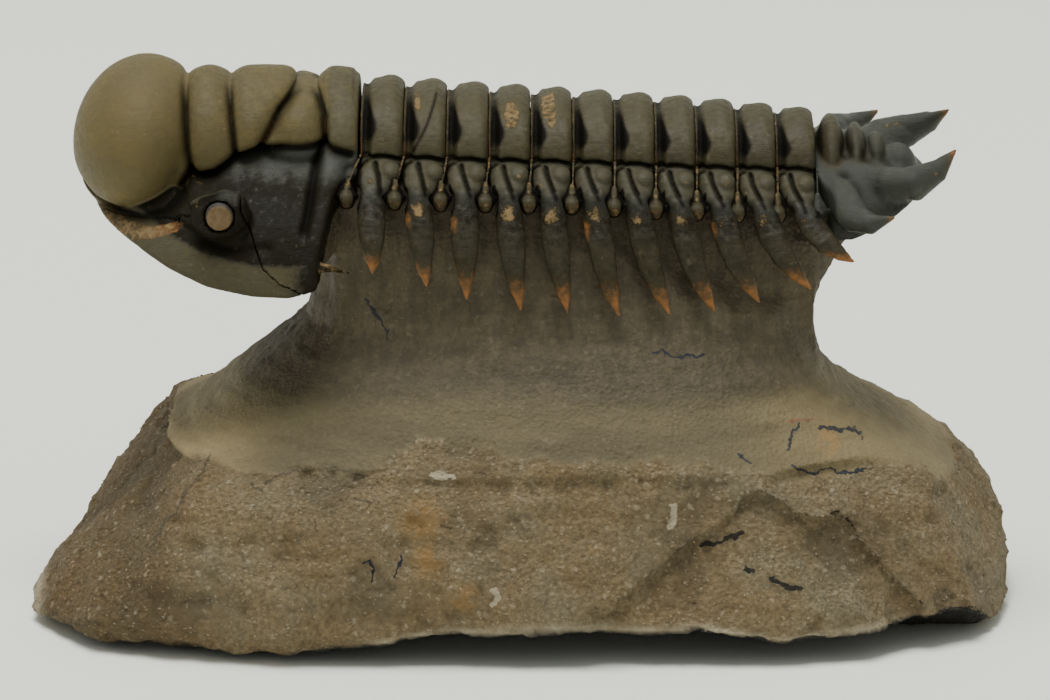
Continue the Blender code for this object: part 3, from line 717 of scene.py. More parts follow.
GENAL_SPINE = ((-18.3, -16.2, 34.6), (-17, -16.1, 34.5), (-15.3, -15.6, 33.9))


def glabella(p):
    """The raised middle of the head: a long arch behind the bulb, crossed by its furrows, and the bulb."""
    along_it = np.abs(p[:, 0] - GLABELLA_MIDDLE[0]) / 9.5
    arch = np.hypot(p[:, 1] / GLABELLA_SIZE[0], (p[:, 2] - GLABELLA_MIDDLE[1]) / GLABELLA_SIZE[1])
    arch = (arch - 1.0) * 6.4 + 0.5 * along_it ** 6
    for line, _, _ in CROSS_FURROWS:
        arch = arch + 0.5 * hump(side_gap(p, line), 1.0)
    for (line, _, _), drop in zip(LOW_FURROWS[:2], (0.5, 0.55)):
        arch = arch + drop * hump(side_gap(p, line), 0.9)
    arch = arch + 0.5 * hump(p[:, 0] + 18.6, 0.9) * soft_step(46.3, 47.2, p[:, 2])
    arch = np.maximum(arch, np.maximum(p[:, 0] + 15.2, -33.0 - p[:, 0]))
    side_furrow = np.array(LOW_FURROWS[2][0])
    arch = np.maximum(arch, np.interp(p[:, 0], side_furrow[:, 0], side_furrow[:, 1]) - 0.35 - p[:, 2])
    arch = blend(arch, ellipsoid(p, *SIDE_LOBE), 0.35)
    return blend(arch, ellipsoid(p, *BULB), 0.35)


def suture_gap(p):
    """Positive on the free cheek: outside one line seen from above, and before one seen from the side."""
    above, beside = np.array(SUTURE_ABOVE, float), np.array(SUTURE_BESIDE, float)
    outer = (-p[:, 1] - np.interp(p[:, 0], above[:, 0], above[:, 1])) * 0.8
    front = (np.interp(p[:, 2], beside[:, 0], beside[:, 1]) - p[:, 0]) * 0.85
    return np.minimum(outer, front)


def parting(p):
    """Positive on the free cheek, negative on the head's middle, which has the whole glabella."""
    return np.minimum(suture_gap(p), glabella(p) - JOINT_GAP)


def rear_gap(p):
    """Positive behind the head's rear edge."""
    edge = np.array(REAR_EDGE, float)
    return (p[:, 0] - np.interp(-p[:, 1], edge[:, 1], edge[:, 0])) * 0.95


def margin_gap(p, lift=0.0):
    """Positive below the head's lower edge."""
    edge = np.array(HEAD_MARGIN, float)
    return (np.interp(p[:, 0], edge[:, 0], edge[:, 1]) + lift - p[:, 2]) * 0.95


def margin_depth(p):
    """How high above the head's lower edge."""
    return -margin_gap(p) / 0.95


def cross_fade(p):
    """The glabella's cross furrows grow shallow over the top."""
    return 0.35 + 0.65 * soft_step(1.5, 4.5, -p[:, 1])


def head_surface(p):
    """The outside of the whole head; p lies on the near side."""
    dome = ellipsoid(p, HEAD_CENTRE, HEAD_RADII)
    hill = ellipsoid(p, (EYE[0], EYE[1] + 0.4, EYE[2] - 0.2), (2.6, 2.15, 2.2))
    dome = blend(dome, hill, 0.6)
    dome = blend(dome, line_gap(p, EYE_RIDGE) - 0.34, 0.35)
    head = blend(glabella(p), dome, 0.25)
    arch = (np.hypot(p[:, 1] / 8.3, (p[:, 2] - 41.2) / 5.85) - 1.0) * 6.0
    away = np.abs(p[:, 0] - HEAD_BACK + 1.45) / 1.75
    arch = cut(arch + 0.6 * away ** 3, np.maximum(41.0 - p[:, 2], (away - 1.0) * 1.75), 0.3)
    head = blend(head, arch, 0.25)
    border = rod(p, BORDER_LINE, (1.25, 1.3, 1.25, 1.2, 1.1), (0.88, 0.86, 0.84, 0.8, 0.75))
    head = blend(head, border, 0.4)
    for line, width, depth in CROSS_FURROWS:
        head = head + depth * cross_fade(p) * hump(side_gap(p, line), width)
    for line, width, depth in LOW_FURROWS:
        head = head + depth * hump(side_gap(p, line), width)
    crackle = hump(p[:, 2] - 39.9 - 0.08 * np.sin(2.1 * p[:, 0]) - 0.06 * np.sin(5.3 * p[:, 0]), 0.2)
    crackle = crackle * soft_step(-30, -28, p[:, 0]) * soft_step(-18.4, -20, p[:, 0])
    crackle = crackle * soft_step(-9.5, -10.5, p[:, 1])
    head = head - 0.07 * crackle
    return head - 0.13 * hump(suture_gap(p), 0.35) * soft_step(-30, -24.6, p[:, 0])


def head_plate(p):
    """The head as a hollow plate, open at the back and below."""
    p = folded(p)
    outer = cut(head_surface(p), rear_gap(p), 0.25)
    outer = cut(outer, margin_gap(p), 0.5)
    spine = rod(p, GENAL_SPINE, (0.5, 0.35, 0.06))
    outer = blend(outer, spine, 0.2)
    inside = ellipsoid(p, HEAD_CENTRE, tuple(r - SHELL for r in HEAD_RADII))
    return np.maximum(outer, -inside)


def head_middle(p):
    return np.maximum(head_plate(p), parting(folded(p)) + JOINT_GAP / 2)


def eye_socket(p):
    q = folded(p)
    return ellipsoid(q, (EYE[0], EYE[1] - 1.0, EYE[2] + 0.1), (1.4, 1.1, 1.4))


def left_cheek(p):
    """The free cheek of the near side, with a room for its eye."""
    plate = np.maximum(head_plate(p), JOINT_GAP / 2 - parting(folded(p)))
    return np.maximum(np.maximum(plate, p[:, 1] + 0.5), -eye_socket(p))


print("the head's furrows:", len(CROSS_FURROWS), "across and", len(LOW_FURROWS), "low")

# %% [markdown]
# The paint values of the head follow the photo. The glabella is tan, paler on the bulb. The upper part of the
# cheek is grey. Below a crackled line it turns nearly black. The lower front edge is chipped to tan and rust,
# and black shade is painted into the furrows, with a little rust.

# %% The head's paint
def head_paint(vertices):
    p = folded(vertices)
    x, y, z = p[:, 0], p[:, 1], p[:, 2]
    furrow = np.zeros(len(p))
    # Painted shade: the head's furrows are painted near-black.
    for line, width, _ in CROSS_FURROWS:
        furrow = np.maximum(furrow, hump(side_gap(p, line), width * 1.05) * soft_step(1.0, 4.2, -y))
    for line, width, _ in LOW_FURROWS[:5]:
        furrow = np.maximum(furrow, hump(side_gap(p, line), width * 1.05) * soft_step(1.0, 3.0, -y))
    on_bulb = soft_step(0.5, 0.2, ellipsoid(p, *BULB))
    beside = np.array(LOW_FURROWS[2][0])
    over_furrow = z - np.interp(x, beside[:, 0], beside[:, 1])
    raised = soft_step(0.3, 0.08, glabella(p)) * np.where(x > -29.6, soft_step(-0.2, 0.05, over_furrow), 1.0)
    back = soft_step(-17.5, -17.2, x) * soft_step(42.2, 42.6, z)
    tan = np.maximum(raised, back)
    wave = 0.15 * np.sin(1.9 * x) + 0.12 * np.sin(4.7 * x + 1.0)
    low = soft_step(41.6, 39.8, z + wave)
    shade = mix(mix(0.74, 1.0, low), mix(0.16, 0.02, on_bulb), tan)
    shade = np.where(back > 0.5, 0.36, shade)
    grey = (1.0 - tan) * mix(0.75, 0.0, low)
    lid = soft_step(0.75, 0.4, line_gap(p, EYE_RIDGE)) * soft_step(38.9, 39.6, z)
    shade = mix(shade, 0.62, lid)
    grey = mix(grey, 0.3, lid)
    border = soft_step(2.9, 2.3, margin_depth(p)) * soft_step(-18.5, -21, x) * (1.0 - tan)
    shade = mix(shade, 0.50, border)
    grey = mix(grey, 0.0, border)
    band = side_gap(p, ((-39.5, 37.2), (-37.8, 36.1), (-35.2, 35.8), (-32.6, 36.2), (-29.9, 37.0)))
    chip_width = np.interp(x, (-39.0, -36.0, -33.0, -30.0), (1.25, 1.1, 0.5, 0.3))
    chip = soft_step(-28.8, -31.5, x) * soft_step(1.15, 0.6, band / chip_width) * (1.0 - tan)
    rust = 0.7 * hump(side_gap(p, ((-23.2, 42.7), (-22.2, 44.4))), 0.22)
    rust = np.maximum(rust, 0.7 * hump(side_gap(p, ((-17.5, 43.2), (-17.5, 44.6))), 0.2))
    rust = np.maximum(rust, chip * mix(0.34, 0.6, soft_step(-35.0, -31.5, x)))
    genal = line_gap(p, GENAL_SPINE) < 0.6
    nick = hump(side_gap(p, ((-29.3, 40.0), (-28.4, 39.7))), 0.35) * (1.0 - tan)
    worn = np.maximum(0.56 * chip, 0.45 * nick)
    worn = np.maximum(worn, 0.5 * genal)
    return {"shade": shade, "grey": grey, "furrow": np.clip(furrow, 0, 1) * 0.94, "rust": rust, "worn": worn}


print("the head's paint:", list(head_paint(np.zeros((1, 3)))))

# %% [markdown]
# The middle of the head is the part of the plate that lies inside the suture. It gets its paint, then the
# lean of the head and its fine unevenness, and takes the place of its CAD solid.

# %% Sculpt the head's middle
HEAD_BOX = ((-43.5, -18.8, 30.5), (-13.5, 18.8, 49.6))
HEAD_CELL, EYE_CELL, RING_CELL, ROCK_CELL = 0.2, 0.12, 0.16, 0.46       # how fine each kind of mesh is

vertices, quads = sculpt(head_middle, *HEAD_BOX, HEAD_CELL)
cranidium = make_piece("cranidium_finish", vertices, quads, head_paint(vertices))
run_tree(cranidium, LEAN_AND_GRAIN, Lean=math.radians(HEAD_LEAN), Grain_size=1.3, Grain_height=0.09,
         Finish=SHELL_OLIVE)
dress(cranidium, "cranidium")

# %% [markdown]
# The free cheeks are the same head's formula on the other side of the suture. The right one, which the
# photo doesn't show, is the left one mirrored.

# %% Sculpt the free cheeks and the eyes
def mirrored(vertices, quads):
    return vertices * np.array([1.0, -1.0, 1.0]), quads[:, ::-1]


def left_eye(p):
    """A low disc with a rounded rim, flattened on its outer face."""
    ball = ellipsoid(p, (EYE[0], EYE[1] - 1.0, EYE[2] + 0.1), (1.26, 0.95, 1.26))
    return cut(ball, EYE[1] - 1.62 - p[:, 1], 0.12)


def eye_paint(vertices):
    return {"shade": soft_step(1.04, 1.16, np.hypot(vertices[:, 0] - EYE[0], vertices[:, 2] - EYE[2] - 0.1))}


CHEEK_BOX = ((-43.5, -18.8, 30.5), (-17.5, -1.5, 43.0))
EYE_BOX = ((-28.2, -16.6, 36.8), (-24.8, -13.8, 40.6))
cheek_mesh, eye_mesh = sculpt(left_cheek, *CHEEK_BOX, HEAD_CELL), sculpt(left_eye, *EYE_BOX, EYE_CELL)
for side in ("left", "right"):
    if side == "right":
        cheek_mesh, eye_mesh = mirrored(*cheek_mesh), mirrored(*eye_mesh)
    cheek = make_piece(f"free_cheek_{side}_finish", *cheek_mesh, head_paint(cheek_mesh[0]))
    run_tree(cheek, LEAN_AND_GRAIN, Lean=math.radians(HEAD_LEAN), Grain_size=1.1, Grain_height=0.1,
             Finish=SHELL_DARK)
    dress(cheek, f"free_cheek_{side}")
    eye = make_piece(f"eye_{side}_finish", *eye_mesh, eye_paint(eye_mesh[0]))
    run_tree(eye, LEAN_AND_GRAIN, Lean=math.radians(HEAD_LEAN), Grain_size=0.6, Grain_height=0.12,
             Finish=EYE_CALCITE)
    dress(eye, f"eye_{side}")

# %% [markdown]
# Each trunk ring is a half hoop over the axis, low in front and highest behind its middle, with a side
# lobe of two bumps parted by a slanting furrow, and a spine like a short sword blade that hangs from it.
# Between two rings a thin light rim runs down to a knob. One formula with the ring's number in it makes
# all eleven.

# %% The rings' formula
PLATE_THICKNESS = 1.2
NOTCH = 1.15                           # how far the hoop's front and back lie below its top
# How far each spine's tip lies behind its ring's middle, and below the axis furrow.
SPINE_TIPS = ((-0.65, 8.2), (0.25, 9.2), (0.0, 10.3), (1.0, 11.2), (1.4, 11.35), (2.2, 11.55), (3.0, 11.2),
              (3.35, 10.7), (3.7, 9.7), (4.7, 8.3), (4.9, 5.6))


def lobe_slant(i):
    """How far the lower end of ring i's side lobe lies behind its upper end."""
    return 0.10 * i - 0.4 - 0.25 * max(0, 2 - i)


def hoop_gap(p, a, h, z):
    """About the distance outside the hoop that runs over the axis."""
    return (np.hypot(p[:, 1] / (a + 0.75), (p[:, 2] - z + 0.9) / (h + 0.9)) - 1.0) * 4.6


def ring_measures(i):
    """The middle of ring i, its reach each way, and the axis's half width, height and furrow there."""
    x = (ring_edge(i) + ring_edge(i + 1)) / 2
    reach = (ring_edge(i + 1) - ring_edge(i) - JOINT_GAP) / 2
    return x, reach, axis_half_width(x), axis_height(x), furrow_z(x)


def spine_line(i):
    """Points from the bend below the side lobe to the spine's tip, and half widths and depths there."""
    x, _, a, _, z = ring_measures(i)
    sweep, drop = SPINE_TIPS[i]
    bend = np.array((x + lobe_slant(i), -(a + 0.86 * SHOULDER_OUT), z - SHOULDER_DOWN))
    tip = np.array((x + sweep, -(a + SHOULDER_OUT + SPINE_OUT), z - drop))
    sag = np.array((-0.12 * sweep, -0.9, 0.0))
    shares = (0.0, 0.13, 0.32, 0.55, 0.8, 1.0)
    line = [mix(bend, tip, t) + sag * math.sin(math.pi * t) for t in shares]
    return line, (0.82, 1.2, 1.25, 1.05, 0.62, 0.08), (0.6, 0.68, 0.66, 0.55, 0.36, 0.08)


def knob_place(i):
    """The middle of the knob in front of ring i, on the near side."""
    x = ring_edge(i)
    return x + 0.1 - 1.2 * math.exp(-i / 2.5), -(axis_half_width(x) + 3.95), furrow_z(x) - 2.6


def knob_field(p, i):
    """The knob in its socket, which is painted black as shade, and the thin stalk of the rim that runs down
    to it.
    """
    x, y, z = knob_place(i)
    edge, a = ring_edge(i) + 0.12, axis_half_width(ring_edge(i))
    socket = rod(p, ((x, y + 0.9, z + 1.25), (x, y + 0.35, z), (x, y + 0.2, z - 0.75)), (0.25, 1.05, 0.6),
                 (0.3, 0.5, 0.4))
    knob = rod(p, ((x, y + 0.35, z + 0.75), (x, y - 0.05, z - 0.05), (x, y - 0.05, z - 0.5)),
               (0.2, 0.62, 0.44), (0.22, 0.52, 0.38))
    stalk = line_gap(p, ((edge, -(a + 0.7), furrow_z(edge) + 0.3), (mix(edge, x, 0.5), -(a + 2.0), z + 1.9),
                         (x, y + 0.75, z + 0.8))) - 0.11
    return blend(blend(socket, knob, 0.06), stalk, 0.1)


def furrow_height(s, z):
    """The furrow beside the axis arches up over each side lobe."""
    return z + 0.12 - 0.42 * s * s


def slit_gap(p, i):
    """Distance to the slanting slit between the two bumps of ring i's side lobe."""
    x, _, _, _, z = ring_measures(i)
    return side_gap(p, ((x - 0.62, z - 0.1), (x - 0.2, z - 1.0), (x + 0.42 + 0.5 * lobe_slant(i), z - 2.15)))


def ring_field(i):
    x, reach, a, h, z = ring_measures(i)
    line, half_widths, half_depths = spine_line(i)
    slant = lobe_slant(i)
    lobe = ((x + 0.05, -(a + 0.8), z - 0.95), (x + 0.3 * slant, -(a + 1.9), z - 1.25),
            (x + 0.7 * slant, -(a + 3.0), z - 1.9), line[0])
    lobe_widths = (0.92 * reach, 0.96 * reach, 0.78 * reach, 0.82)
    front_bump = ((x - 0.92, -(a + 1.1), z - 0.7), (x - 0.85 + 0.3 * slant, -(a + 2.0), z - 1.1),
                  (x - 0.7 + 0.6 * slant, -(a + 2.8), z - 1.75))

    def field(p):
        p = folded(p)
        s = (p[:, 0] - x) / reach
        over = soft_step(0.62 * h, 0.98 * h, p[:, 2] - z)
        saddle = NOTCH * np.where(s < 0.3, np.abs((0.3 - s) / 1.3) ** 1.6, np.abs((s - 0.3) / 0.7) ** 3.2)
        step = 0.62 * soft_step(-0.40, -0.74, s) + 0.4 * (np.clip(s - 0.3, 0.0, 1.0) / 0.7) ** 5
        hoop = hoop_gap(p, a, h, z)
        flange = hump(s + 0.95, 0.08) * mix(0.15, 0.0, over)
        body = np.maximum(hoop + mix(step, saddle, over) - flange, -(hoop + NOTCH + PLATE_THICKNESS))
        body = cut(body, (np.abs(s) - 1.0) * reach, 0.14)
        body = np.maximum(body, z - 1.2 - p[:, 2])
        body = body + 0.4 * hump(p[:, 2] - furrow_height(s, z), 0.17)
        pillow = rod(p, lobe, lobe_widths, (0.75, 0.85, 0.72, 0.6))
        pillow = blend(pillow, rod(p, front_bump, (0.55, 0.66, 0.5), (0.5, 0.6, 0.45)), 0.12)
        pillow = blend(pillow, ellipsoid(p, (x + 0.78, -(a + 1.65), z - 0.85), (0.92, 1.3, 0.78)), 0.12)
        pillow = pillow + 0.4 * hump(slit_gap(p, i), 0.17)
        body = blend(body, pillow, 0.06)
        body = blend(body, rod(p, line, half_widths, half_depths), 0.3)
        return blend(body, knob_field(p, i), 0.04)
    return field


print("a ring's measures:", [round(float(value), 2) for value in ring_measures(0)])

# %% [markdown]
# The rings' tops are olive-brown, and their front rim is light brown. Black shade is painted into the low
# front crescent, the axis furrow, the slit of each side lobe, the rings' edges and the knobs' sockets. The
# side lobes are blue-grey with worn yellow spots. The spines are dark with rusty tips.

# %% The rings' paint
# Where tan rock still clings to the tops, as (ring, share of its length, height over the furrow, radius).
TOP_PATCHES = ((3, 0.1, 3.2, 0.85), (4, -0.12, 3.6, 0.8), (4, 0.0, 3.0, 0.5), (1, -0.35, 3.7, 0.35))
# How plain the worn patch at the root of each ring's spine is.
ROOT_PATCHES = (0.45, 1.0, 0.5, 0.95, 0.95, 0.8, 0.7, 0.75, 0.6, 0.7, 0.6)
# The rings whose spots behind, spots low in front and rust on the spine are plain, and the one with a crack.
SPOTTED, LOW_SPOTTED, RUSTY, CRACKED = (3, 5, 7, 8), (0, 2, 4, 9), (1, 2, 5, 8), 1


def ring_paint(i, vertices):
    x, reach, a, h, z = ring_measures(i)
    front = ring_edge(i)
    near = vertices[:, 1] < 0
    p = folded(vertices)
    s = (p[:, 0] - x) / reach
    up = p[:, 2] - z
    top = soft_step(-0.05, 0.1, p[:, 2] - furrow_height(s, z)) * soft_step(a + 1.2, a + 0.9, -p[:, 1])
    line, _, _ = spine_line(i)
    down = np.clip((line[0][2] - p[:, 2]) / (line[0][2] - line[-1][2]), 0.0, 1.0)
    on_spine = soft_step(0.02, 0.08, down)
    knob = np.array(knob_place(i))
    around = np.hypot(p[:, 0] - knob[0], (p[:, 2] - knob[2] + 0.1) * 0.72)
    near_knob = soft_step(1.3, 1.2, around) * (p[:, 0] < front + 0.9) * (np.abs(p[:, 1] - knob[1]) < 1.2)
    on_knob = near_knob * soft_step(0.66, 0.56, around)
    shade_beside = mix(0.45, 0.95, soft_step(-1.0, -2.6, up))
    shade = mix(shade_beside, mix(0.46, 0.58, soft_step(h, 0.0, up)) + 0.012 * i, top)
    shade = mix(shade, mix(0.90, 0.77, soft_step(0.1, 0.4, down)), on_spine)
    shade = mix(shade, 0.62, on_knob)
    knob_front = on_knob * soft_step(0.35, -0.15, p[:, 2] - knob[2])
    grey = (1.0 - top) * (1.0 - on_spine) * (1.0 - near_knob) * 0.28
    belly = hump(up / h - 0.52, 0.26)
    # Painted shade: the low front crescent, which the ring in front shades, is painted black.
    crescent_shade = top * soft_step(-1.0, -0.96, s) * soft_step(0.12, -0.1, s + 0.74 - 0.5 * belly)
    crescent_shade = crescent_shade * mix(0.4, 1.0, soft_step(0.12 * h, 0.34 * h, up)) * soft_step(0.9 * h, 0.74 * h, up)
    axial = hump(p[:, 2] - furrow_height(s, z), 0.17) * (-p[:, 1] > a - 0.6) * (-p[:, 1] < a + 1.3)
    edge = soft_step(0.84, 0.97, np.abs(s)) * (1.0 - top) * (1.0 - on_spine) * (1.0 - near_knob)
    slit = hump(slit_gap(p, i), 0.19) * (1.0 - top) * (1.0 - near_knob) * (-p[:, 1] > a + 0.6)
    stalk_line = ((front + 0.12, z + 0.4), (mix(front, knob[0], 0.5), knob[2] + 1.9),
                  (knob[0], knob[2] + 0.8))
    stalk = soft_step(0.26, 0.16, side_gap(p, stalk_line)) * (1.0 - top) * (p[:, 2] > knob[2] + 0.75)
    socket = near_knob * (1.0 - on_knob) * (1.0 - stalk)
    # Painted shade, near-black: the crescent, the axis furrow, the edges, the knob's socket and the slit.
    furrow = np.maximum.reduce([crescent_shade * 0.98, axial * 0.98, edge * 0.9, socket * 0.98, slit * 0.98])
    rim = soft_step(-0.9, -0.95, s) * top
    rim_colour = np.maximum(rim, stalk)
    spine_rust = mix(0.15, 0.5, i in RUSTY) * on_spine * hump(down - 0.22, 0.1)
    spine_rust = spine_rust * soft_step(0.3, 0.9, line[1][0] - p[:, 0])
    rim_rust = 0.62 * rim * soft_step(0.45 * h, 0.2 * h, up)
    rust = np.maximum.reduce([0.68 * soft_step(0.5, 1.0, down), 0.3 * knob_front, rim_rust, spine_rust])
    root = ROOT_PATCHES[i] * hump(np.hypot((p[:, 0] - line[0][0]) / 0.8, (down - 0.1) / 0.1), 1.0)
    root = root * (1.0 - top)
    spot = hump(np.hypot(p[:, 0] - x - 0.85, up + 0.55), 0.4) * (1.0 - top) * (0.3 + 0.7 * (i in SPOTTED))
    low_spot = hump(np.hypot(p[:, 0] - x + 0.9, up + 1.3), 0.35) * (1.0 - top)
    low_spot = low_spot * (0.3 + 0.7 * (i in LOW_SPOTTED))
    worn = np.maximum.reduce([0.74 * root, 0.54 * spot, 0.54 * low_spot, 0.46 * knob_front, 0.5 * rim_colour])
    for ring, share, height, radius in TOP_PATCHES:
        if ring == i:
            gap = np.hypot(p[:, 0] - x - share * reach, up - height)
            worn = np.maximum(worn, 0.6 * top * soft_step(radius * 1.15, radius * 0.7, gap) * near)
    furrow = np.clip(furrow * (1.0 - rim_colour), 0.0, 1.0)
    if i == CRACKED:
        crack = ((x + 0.95, z + 4.2), (x + 0.2, z + 2.6), (x - 0.65, z + 1.25), (x - 1.0, z + 0.6))
        furrow = np.maximum(furrow, 0.95 * hump(side_gap(p, crack), 0.13) * top * near)
    return {"shade": shade, "grey": grey, "furrow": furrow, "rust": rust, "worn": worn}


print("rings with a plain spot:", SPOTTED, "and low spot:", LOW_SPOTTED)

# %% [markdown]
# One loop makes all eleven rings. Each is read in a box that just holds it, from its knob to its spine's
# tip, and leans by its own angle, so the body twists a little towards the tail.

# %% Sculpt the eleven rings
for i in range(RING_COUNT):
    x, _, _, h, z = ring_measures(i)
    tip = spine_line(i)[0][-1]
    half_width = -tip[1] + 0.8
    low = (ring_edge(i) - 2.2, -half_width, tip[2] - 0.4)
    high = (max(ring_edge(i + 1) + 0.9, tip[0] + 0.5), half_width, z + h + 0.6)
    vertices, quads = sculpt(ring_field(i), low, high, RING_CELL)
    ring = make_piece(f"thoracic_segment_{i + 1:02d}_finish", vertices, quads, ring_paint(i, vertices))
    run_tree(ring, LEAN_AND_GRAIN, Lean=float(lean_at(x)), Grain_size=1.0, Grain_height=0.17,
             Finish=SHELL_OLIVE)
    dress(ring, f"thoracic_segment_{i + 1:02d}")

# %% [markdown]
# The tail shield closes the animal: four small rings on its axis, pits between them, and two pairs of
# spines, the first curling outwards and the second turned up like horns. It is smooth and blue-grey.

# %% The tail's formula and piece
TAIL_START = ring_edge(RING_COUNT) + JOINT_GAP / 2
TAIL_FRONT = ((2.0, 20.0), (1.5, 9.5), (0.9, 7.5), (0.0, 5.0), (0.0, 0.0))
TAIL_CENTRE, TAIL_RADII = (26.5, 0.0, 36.2), (10.2, 9.2, 4.8)
TAIL_RINGS = (((27.2, 0, 39.4), (1.35, 4.6, 3.9)), ((29.4, 0, 39.2), (1.15, 3.9, 3.3)),
              ((31.2, 0, 39), (1.05, 3.1, 2.7)), ((33.2, 0, 38.8), (1.7, 2.2, 1.9)))
TAIL_SPINES = (
    (((27.7, -5.4, 39.2), (28.0, -8.4, 38.8), (28.8, -10.3, 38.1), (30.2, -11.5, 38.0), (32.2, -12.2, 38.9)),
     (1.4, 1.6, 1.5, 1.05, 0.12)),
    (((30.2, -3.8, 38.8), (32.2, -5.3, 39.1), (34.3, -6.0, 39.5), (36.3, -5.7, 40.5), (38.0, -4.6, 42.1)),
     (1.7, 1.9, 1.6, 1.05, 0.12)),
)
TAIL_PITS = ((28.4, -2.4, 40.9), (30.4, -2.6, 40.6), (32.4, -2.3, 40.2), (28.3, -5.6, 40.2))
TAIL_FOLD = ((29.5, -6.2, 40.6), (30.6, -8.6, 39.0), (31.4, -10.2, 37.5))      # between the two spines
TAIL_NOTCH = ((31.2, -9.2, 38.6), (32.4, -10.8, 37.0))
TAIL_LEDGE = ((32.5, -4.6, 40.6), (36.2, -6.4, 40.6))


def tail_field(p):
    p = folded(p)
    shield = ellipsoid(p, TAIL_CENTRE, TAIL_RADII)
    for line, radii in TAIL_SPINES:
        shield = blend(shield, rod(p, line, radii, tuple(0.82 * r for r in radii)), 0.7)
    for centre, radii in TAIL_RINGS:
        shield = blend(shield, ellipsoid(p, centre, radii), 0.35)
    for pit in TAIL_PITS:
        shield = shield + 0.35 * hump(spot_gap(p, pit), 0.75)
    shield = shield + 0.9 * hump(line_gap(p, TAIL_FOLD), 0.55)
    shield = shield + 1.3 * hump(line_gap(p, TAIL_NOTCH), 0.7)
    under_edge = 0.38 * (p[:, 0] - 34.0) - 0.92 * (p[:, 2] - 37.3)
    shield = cut(shield, under_edge, 0.3)
    inside = ellipsoid(p, TAIL_CENTRE, tuple(r - SHELL for r in TAIL_RADII))
    shield = np.maximum(np.maximum(shield, -inside), TAIL_CENTRE[2] - 0.4 - p[:, 2] - 0.5 * (p[:, 1] < -8.0))
    edge = np.array(TAIL_FRONT[::-1], float)
    shield = cut(shield, TAIL_START + np.interp(-p[:, 1], edge[:, 1], edge[:, 0]) - p[:, 0], 0.2)
    return blend(shield, knob_field(p, RING_COUNT), 0.06)


def tail_paint(vertices):
    p = folded(vertices)
    pits = np.maximum.reduce([hump(spot_gap(p, pit), 0.62) for pit in TAIL_PITS])
    fold = hump(line_gap(p, TAIL_FOLD), 0.75)
    tips = np.maximum(soft_step(31.0, 32.3, p[:, 0]) * soft_step(-10.5, -11.5, p[:, 1]),
                      soft_step(36.4, 38.2, p[:, 0]))
    low = soft_step(39.0, 37.4, p[:, 2])
    ledge = hump(line_gap(p, TAIL_LEDGE), 0.5)
    notch = hump(line_gap(p, TAIL_NOTCH), 0.8)
    lobes = [soft_step(0.5, 0.1, ellipsoid(p, *lobe)) for lobe in TAIL_RINGS]
    axis = np.maximum.reduce([lobes[0], 0.7 * lobes[1], 0.4 * lobes[2]])
    behind = [soft_step(0.3, 0.0, p[:, 0] - lobe[0][0] + 0.7 * lobe[1][0]) * on
              for lobe, on in zip(TAIL_RINGS, lobes)]
    groove = np.maximum.reduce(behind) * soft_step(43.4, 42.4, p[:, 2]) * soft_step(40.4, 41.2, p[:, 2])
    shade = mix(mix(0.7, 0.9, low), 0.58, axis)
    grey = mix(mix(0.78, 0.5, low), 0.12, axis) * (1.0 - 0.6 * tips)
    # Painted shade: the pits, the fold, the notch and the grooves behind the axis rings are painted dark.
    furrow = np.maximum.reduce([0.8 * pits, 0.85 * fold, 0.9 * notch, 0.75 * groove])
    shade = mix(shade, 0.5, tips)
    furrow = np.clip(furrow, 0, 1)
    return {"shade": shade, "grey": grey, "rust": 0.5 * tips, "worn": 0.47 * ledge, "furrow": furrow}


TAIL_BOX = ((TAIL_START - 0.6, -13.8, 34.6), (38.9, 13.8, 44.2))
vertices, quads = sculpt(tail_field, *TAIL_BOX, RING_CELL)
tail = make_piece("pygidium_finish", vertices, quads, tail_paint(vertices))
run_tree(tail, LEAN_AND_GRAIN, Lean=math.radians(TAIL_LEAN), Grain_size=1.2, Grain_height=0.12,
         Finish=SHELL_DARK)
dress(tail, "pygidium")

# %% [markdown]
# The rock is one block. Its lower part is as it broke from the ground: flat tilted facets, crisp ridges,
# a raw lip at its foot. Above an uneven edge the preparer ground it to a smooth slope and a narrow neck,
# and left the rock standing behind the spines. The formula joins the broken block, the neck and the core
# inside the animal.

# %% The rock's formula
# The block's outline at each height, as (z, left x, right x, near y, far y, squareness).
BLOCK_LEVELS = np.array((
    (0.0, -41.0, 41.0, -23.5, 24.0, 0.55), (1.2, -44.2, 43.6, -26.8, 27.0, 0.55),
    (2.8, -43.8, 44.0, -28.0, 28.0, 0.52), (7.0, -40.6, 43.2, -27.8, 27.6, 0.50),
    (10.0, -38.6, 41.8, -27.0, 26.6, 0.52), (13.0, -37.0, 38.2, -26.0, 25.4, 0.55),
    (15.0, -35.0, 35.0, -24.6, 24.0, 0.60), (16.7, -30.6, 32.0, -22.6, 22.2, 0.66),
    (18.6, -28.0, 29.2, -20.4, 19.8, 0.70), (20.8, -25.6, 27.0, -18.0, 17.4, 0.72),
    (23.0, -22.6, 26.1, -15.9, 15.6, 0.72), (25.5, -19.7, 25.3, -13.6, 14.2, 0.68),
    (28.5, -19.0, 25.0, -12.0, 13.2, 0.62), (32.0, -19.3, 24.8, -10.6, 12.2, 0.60),
    (35.5, -19.1, 24.2, -9.2, 10.8, 0.60)))
CORE_CLEARANCE = 0.25
# The wall of the rock in the trunk, as (distance out from the axis, height over its furrow).
CORE_WALL = ((-1.2, -2.2), (0.8, -2.7), (2.2, -4.1), (3.0, -5.8), (3.6, -8.8), (3.5, -14.0))
